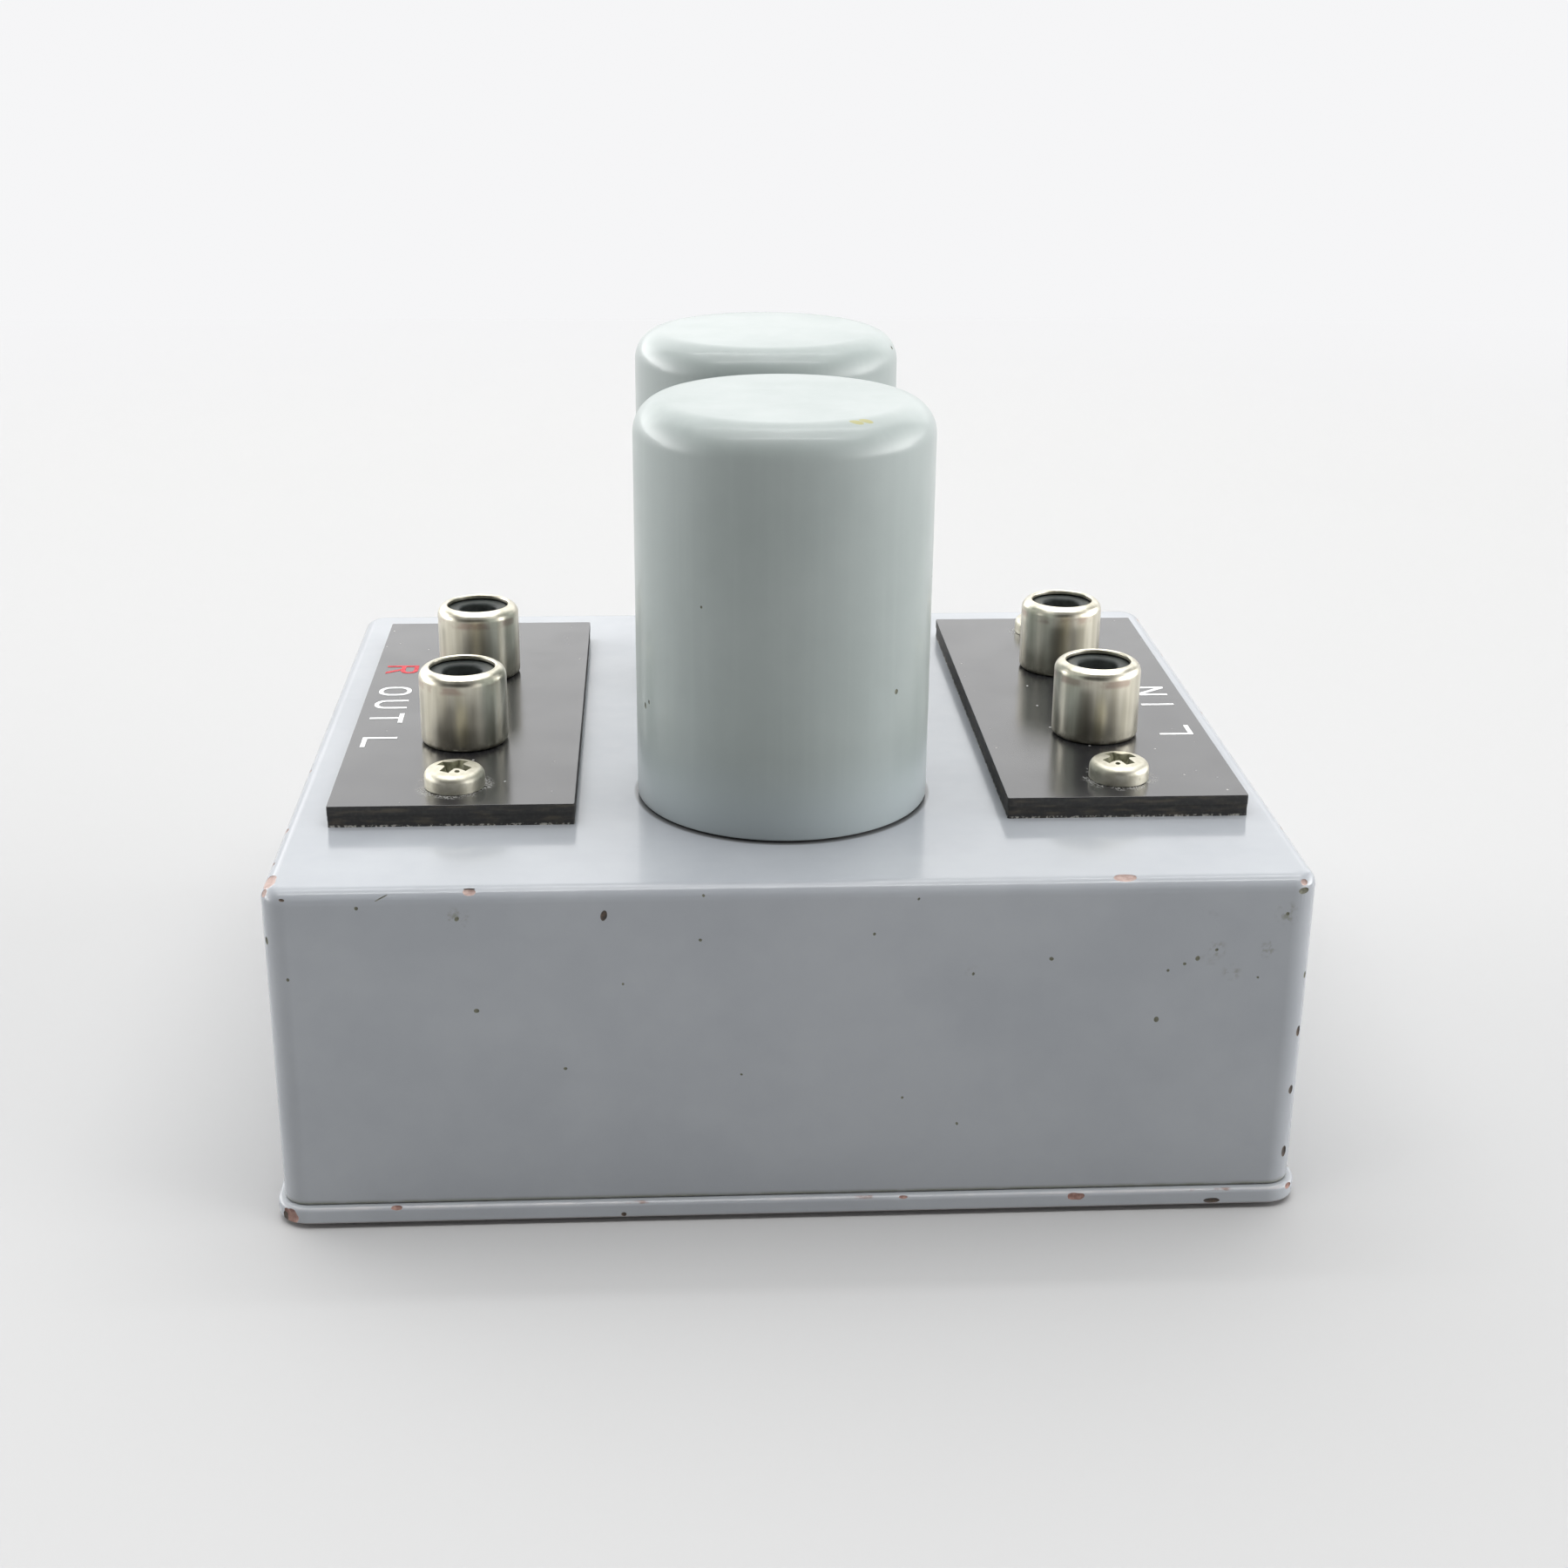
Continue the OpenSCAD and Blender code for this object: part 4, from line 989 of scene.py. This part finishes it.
def buildCans(look):
    low, high = boxMm("front_can")
    radius = (high.x - low.x) / 2
    wall, shoulder, foot = look["wall"], look["shoulder"], look["foot"]
    bend = (radius - shoulder, high.z - shoulder)
    outline = [(radius - foot, low.z), (radius - foot * 0.3, low.z + foot * 0.3), (radius, low.z + foot)]
    outline += [(radius, low.z + (bend[1] - low.z) * share) for share in (0.3, 0.6, 0.85)]
    outline += arc(bend, shoulder, 0, 90, 14) + [(bend[0] * share, high.z) for share in (0.75, 0.5, 0.25, 0)]
    outline += [(0, high.z - wall), (bend[0], high.z - wall)]
    outline += arc(bend, shoulder - wall, 90, 0, 8)[1:] + [(radius - wall, low.z)]
    middle, gap = (canSpots[0] + canSpots[1]) / 2, canSpots[1].y - canSpots[0].y
    both = turned("cans", outline, "canEnamel", ((middle.x, middle.y, 0), 1, 2, 0, gap), look["steps"])
    draw = random.Random(look["seed"])
    pits = list(look["pits"])
    for mark in range(look["otherSpecks"]):  # only on the sides turned away from the front
        spot, angle, wide = canSpots[mark % 2], draw.uniform(-0.2, math.pi + 0.2), draw.uniform(0.1, 0.24)
        pits.append((spot.x + radius * math.cos(angle), spot.y + radius * math.sin(angle), draw.uniform(34, 66),
                     wide, wide * draw.uniform(0.8, 1.5), 0.07, draw.uniform(-50, 50)))
    cut = cutPiece("cans", both, [], ([], pits, []), "rustChip", look["lumps"], look["seed"])
    return finishPiece("cans", cut, "can_paint", "front_can", "rear_can")


buildCans(canLook)


# jack shells and their insulators, four of each on one grid
jackLook = {
    "neck": 3.0, "neckBore": 2.6, "neckLength": 2.8, "flare": (0.6, 0.4), "foot": 0.5, "wall": 0.4, "lip": 1.05,
    "lipAngles": (0, 10, 20, 26, 28, 33, 38, 42, 50, 58, 66, 74), "groove": (33, 0.015), "bead": 0.2, "mouth": 3.1,
}
insulatorLook = {
    "slip": 0.05, "face": 6.9, "pin": 1.85, "funnel": (2.0, 0.2), "funnelEdge": (0.15, 0.05), "funnelFoot": 0.06,
    "tail": 5.2, "stepDown": 1.9, "tailBore": 2.15,
}


def jackGrid(base):
    low = Vector((min(spot.x for spot in jackSpots), min(spot.y for spot in jackSpots), 0))
    high = Vector((max(spot.x for spot in jackSpots), max(spot.y for spot in jackSpots), 0))
    middle = (low + high) / 2
    return ((middle.x, middle.y, base), 2, 2, high.x - low.x, high.y - low.y)


def buildJacks(look, inner):
    low, high = boxMm("out_front_shell")
    radius, tall = (high.x - low.x) / 2, high.z - boardTop
    neck, bore, lip, wall = look["neck"], look["neckBore"], look["lip"], look["wall"]
    foot, bead, mouth, end = look["foot"], look["bead"], look["mouth"], -look["neckLength"]
    flare, flareTop = neck + look["flare"][0], end + look["flare"][1]
    bend = (radius - lip, tall - lip)
    outline = [(bore, end), (flare, end), (flare, flareTop), (neck, flareTop), (neck, 0.0)]
    outline += arc((radius - foot, foot), foot, -90, 0, 6)
    outline += [(radius, tall * 0.35), (radius, tall * 0.6)]
    grooveAt, sunk = look["groove"]
    for angle in look["lipAngles"]:
        outline += arc(bend, lip - (sunk if angle == grooveAt else 0), angle, angle, 1)[:1]
    outline += arc((mouth + bead, tall - bead), bead, 80, 180, 6)
    outline += [(mouth, tall - wall)] + arc(bend, lip - wall, 85, 0, 6)
    outline += [(radius - wall, wall), (bore, wall)]
    shells = turned("jackShells", outline, "nickel", jackGrid(boardTop), 96)
    finishPiece("jackShells", shells, "nickel", *jackNodes("shell"))
    face, pin, tail, tailBore = inner["face"], inner["pin"], -inner["tail"], inner["tailBore"]
    outer, throat, edge = radius - wall - inner["slip"], bore - inner["slip"], lip - wall
    (wide, deep), (flat, drop), ease = inner["funnel"], inner["funnelEdge"], inner["funnelFoot"]
    outline = [(tailBore, tail), (throat, tail), (throat, wall), (outer, wall)]
    outline += arc((outer - edge, face - edge), edge, 0, 90, 8)
    outline += [(wide + flat, face), (wide, face - drop), (pin + ease, face - deep + ease), (pin, face - deep - ease),
                (pin, -inner["stepDown"]), (tailBore, -inner["stepDown"])]
    plugs = turned("jackInsulators", outline, "insulator", jackGrid(boardTop), 72)
    finishPiece("jackInsulators", plugs, "insulator_black", *jackNodes("insulator"))


buildJacks(jackLook, insulatorLook)


# pan head screws that hold the boards; a cross ring is half length, half width and height from the crown
panLook = {"shank": 1.5, "length": 8.0, "tip": 0.2, "rim": 0.06, "side": 1.0, "domeWide": 0.75, "crown": 0.25,
           "cross": [(1.73, 0.58, 0.3), (1.65, 0.5, -0.12), (1.023, 0.36, -1.12), (0.30, 0.16, -1.4)],
           "bend": 1.64, "soft": 1.1856, "dimple": (1.03, 0.24, 0.16),
           "turn": 44.0, "lean": 16.0, "spread": 2.0, "seed": 5}


def crossCutter(look, top):
    # a cross that narrows towards its floor, with the small dimple between two arms
    points = []
    for half, wide, height in look["cross"]:
        bend, soft = wide * look["bend"], wide * look["soft"]
        for quarter in range(4):
            cosine, sine = math.cos(math.pi / 2 * quarter), math.sin(math.pi / 2 * quarter)
            for along, side in ((half, -wide), (half, wide), (bend, wide), (soft, soft), (wide, bend)):
                points.append((along * cosine - side * sine, along * sine + side * cosine, top + height))
    made = meshOf("cross", points, skinFaces(len(points) // len(look["cross"]), len(look["cross"])))
    shape = bmesh.new()
    shape.from_mesh(made)
    away, wide, sunk = look["dimple"]
    place = Matrix.Translation(Vector((-away, -away, top - sunk)) * mm)
    bmesh.ops.create_icosphere(shape, subdivisions=3, radius=wide * mm, matrix=place)
    bmesh.ops.recalc_face_normals(shape, faces=shape.faces)
    shape.to_mesh(made)
    shape.free()
    return holdMesh("cross", made)


def buildScrews(look):
    top = screwHigh.z - boardTop
    shank, tip, rim, side, foot = look["shank"], look["tip"], look["rim"], look["side"], -look["length"]
    outline = [(0, foot), (shank - tip, foot), (shank, foot + tip), (shank, 0), (headRadius - rim, 0),
               (headRadius, rim), (headRadius, side)]
    inner = headRadius - look["domeWide"]
    brow = top - look["crown"]
    for angle in range(10, 91, 10):
        outline.append((inner + look["domeWide"] * math.cos(math.radians(angle)),
                        side + (brow - side) * math.sin(math.radians(angle))))
    outline += [(inner * share, top - look["crown"] * share ** 2) for share in (0.75, 0.5, 0.25, 0)]
    blank = turned("boardScrewBlank", outline, "screwNickel", ((0, 0, 0), 1, 1, 0, 0), 64, close=False)
    cross = crossCutter(look, top)
    middle, span = (screwLow + screwHigh) / 2, screwHigh - screwLow
    made = growMesh("boardScrews", blank, panScrews, {
        "Cross": cross, "Columns": 2, "Rows": 2,
        "Width": (span.x - 2 * headRadius) * mm, "Depth": (span.y - 2 * headRadius) * mm,
        "Centre": [middle.x * mm, middle.y * mm, boardTop * mm], "Turn": math.radians(look["turn"]),
        "Lean": math.radians(look["lean"]), "Spread": math.radians(look["spread"]), "Seed": look["seed"],
        "Finish": finishes["screwNickel"], "Recess Finish": finishes["recess"]})
    bpy.data.objects.remove(cross)
    return finishPiece("boardScrews", made, "screw_nickel", "board_screws", sharp=40)


buildScrews(panLook)


# laminated jack boards: a smooth black face over a sawn fibrous core
boardLook = {"corner": 0.2, "bevel": 0.06, "face": 0.9, "inset": 0.02, "levels": 6, "sawn": 0.05, "grain": 0.8,
             "pitch": 0.35, "neckHole": 3.05, "boltHole": 1.7, "holeOver": 1, "seed": 3}


def buildBoard(side, look):
    node = side + "_board"
    low, high = boxMm(node)
    middle, size = (low + high) / 2, high - low
    seam, bevel, inset, levels = high.z - look["face"], look["bevel"], look["inset"], look["levels"]
    rows = [(inset, low.z + (seam - low.z) * step / levels) for step in range(levels + 1)]
    rows += [(0, seam), (0, high.z - bevel), (bevel * 0.3, high.z - bevel * 0.3), (bevel, high.z)]
    cuts = (int(size.x / look["pitch"]), int(size.y / look["pitch"]))
    blank = loft(node, middle, size.x, size.y, look["corner"], rows, 3, cuts)
    sawn = growMesh(node + "Sawn", blank, sawnEdge, {
        "Depth": look["sawn"] * mm, "Below": (seam - 0.02) * mm, "Grain": 1 / (look["grain"] * mm),
        "Seed": look["seed"]})
    sawn.materials.clear()
    sawn.materials.append(finishes["boardCore"])
    sawn.materials.append(finishes["boardFace"])
    for face in sawn.polygons:
        face.material_index = 1 if face.center.z > (high.z - bevel * 1.5) * mm else 0
    holes = []
    for spots, key in ((jackSpots, "neckHole"), (screwSpots, "boltHole")):
        ownSpots = [spot for spot in spots if low.x < spot[0] < high.x]
        holes += boresAt(ownSpots, low.z - look["holeOver"], high.z + look["holeOver"], look[key])
    cut = cutPiece(side + "Board", sawn, holes, ([], [], []), "boardCore", 0.0, 1)
    return finishPiece(side + "Board", cut, "board_phenolic", node, flats=True)


for boardSide in ("out", "in"):
    buildBoard(boardSide, boardLook)


# lettering: plain capitals in ink; a word is its letter, start, width and ink
letterLook = {
    "tall": 3.3, "stroke": 0.45, "ink": 0.03, "sunk": 0.004, "bendU": 0.48, "bendO": 0.47, "slantN": 1.75,
    "waistR": 0.46, "legR": (1.08, 1.60, 0.55),
    "left": {"base": -39.85, "up": 1, "words": [
        ("R", 14.6, 2.6, "red"), ("O", 7.55, 2.7, "white"), ("U", 3.4, 2.6, "white"), ("T", -0.7, 2.75, "white"),
        ("L", -7.6, 2.7, "white")]},
    "right": {"base": 40.6, "up": -1, "words": [
        ("L", -9.4, 2.7, "white"), ("I", -0.6, 0.45, "white"), ("N", 2.5, 2.65, "white")]},
}


def letterOutlines(letter, wide, look):
    tall, pen = look["tall"], look["stroke"]
    inX, inY = wide - pen, tall - pen
    if letter == "I":
        return [[(0, 0), (pen, 0), (pen, tall), (0, tall)]]
    if letter == "L":
        return [[(0, 0), (wide, 0), (wide, pen), (pen, pen), (pen, tall), (0, tall)]]
    if letter == "T":
        near, far = inX / 2, (wide + pen) / 2
        return [[(near, 0), (far, 0), (far, inY), (wide, inY), (wide, tall), (0, tall), (0, inY), (near, inY)]]
    if letter == "N":
        slant = pen * look["slantN"]
        return [[(0, 0), (pen, 0), (pen, tall - slant), (inX, 0), (wide, 0), (wide, tall), (inX, tall),
                 (inX, slant), (pen, tall), (0, tall)]]
    if letter == "U":
        bend = wide * look["bendU"]
        left, right = (bend, bend), (wide - bend, bend)
        outer = arc(left, bend, 180, 270, 10) + arc(right, bend, 270, 360, 10)
        inner = arc(right, bend - pen, 360, 270, 10) + arc(left, bend - pen, 270, 180, 10)
        return [[(0, tall)] + outer + [(wide, tall), (inX, tall)] + inner + [(pen, tall)]]
    if letter == "O":
        rings = []
        for inset in (0, pen):
            bend = wide * look["bendO"] - inset
            left, right, low, high = inset + bend, wide - inset - bend, inset + bend, tall - inset - bend
            rings.append(arc((right, high), bend, 0, 90, 10) + arc((left, high), bend, 90, 180, 10)
                         + arc((left, low), bend, 180, 270, 10) + arc((right, low), bend, 270, 360, 10))
        return rings
    waist = tall * look["waistR"]  # R: stem, bowl and leg
    bowl = (tall - waist) / 2
    hub, (legNear, legFar, foot) = (wide - bowl, waist + bowl), look["legR"]
    outer = [(0, 0), (pen, 0), (pen, waist), (legNear, waist), (wide - foot, 0), (wide, 0), (legFar, waist)]
    outer += arc(hub, bowl, -90, 90, 14) + [(0, tall)]
    inner = [(pen, waist + pen)] + arc(hub, bowl - pen, -90, 90, 12) + [(pen, inY)]
    return [outer, inner]


def drawLetter(letter, start, wide, side, look):
    curve = bpy.data.curves.new("letter" + letter, "CURVE")
    curve.dimensions = "2D"
    curve.fill_mode = "BOTH"
    curve.extrude = look["ink"] / 2 * mm
    for outline in letterOutlines(letter, wide, look):
        spline = curve.splines.new("POLY")
        spline.points.add(len(outline) - 1)
        spline.use_cyclic_u = True
        for point, (along, up) in zip(spline.points, outline):
            point.co = (along * mm, up * mm, 0, 1)
    holder = holdMesh("letter" + letter, curve)
    made = plainMesh(holder)
    bpy.data.objects.remove(holder)
    up, height = side["up"], boardTop + look["ink"] / 2 - look["sunk"]
    made.transform(Matrix(((0, up, 0, side["base"] * mm), (-up, 0, 0, start * mm), (0, 0, 1, height * mm),
                           (0, 0, 0, 1))))
    return made


def buildLettering(look):
    for ink in ("white", "red"):
        shape = bmesh.new()
        for side in (look["left"], look["right"]):
            for letter, start, wide, colour in side["words"]:
                if colour == ink:
                    shape.from_mesh(drawLetter(letter, start, wide, side, look))
        made = bpy.data.meshes.new(ink + "Lettering")
        shape.to_mesh(made)
        shape.free()
        made.materials.clear()
        made.materials.append(finishes[ink + "Ink"])
        finishPiece(ink + "Lettering", made, "lettering_" + ink)


buildLettering(letterLook)


# the frame's own nodes that stay take their finish by slot
slotFinishes = {
    "contact_brass": "brass", "screw_nickel": "screwNickel", "plated_steel": "zinc", "core_steel": "laminations",
    "copper_wire": "copper", "bobbin_plastic": "bobbin", "potting_wax": "wax", "black_rubber": "rubber",
    "red_sleeving": "redSleeve", "white_sleeving": "whiteSleeve", "black_sleeving": "blackSleeve",
    "case_paint": "caseEnamel", "can_paint": "canEnamel", "board_phenolic": "boardFace", "nickel": "nickel",
    "insulator_black": "insulator",
}
for part in frame["record"]["subparts"]:
    for holder in frame["nodes"][part["node"]].material_slots:
        holder.material = finishes[slotFinishes[part["material_slot"]]]
print("frame nodes dressed")
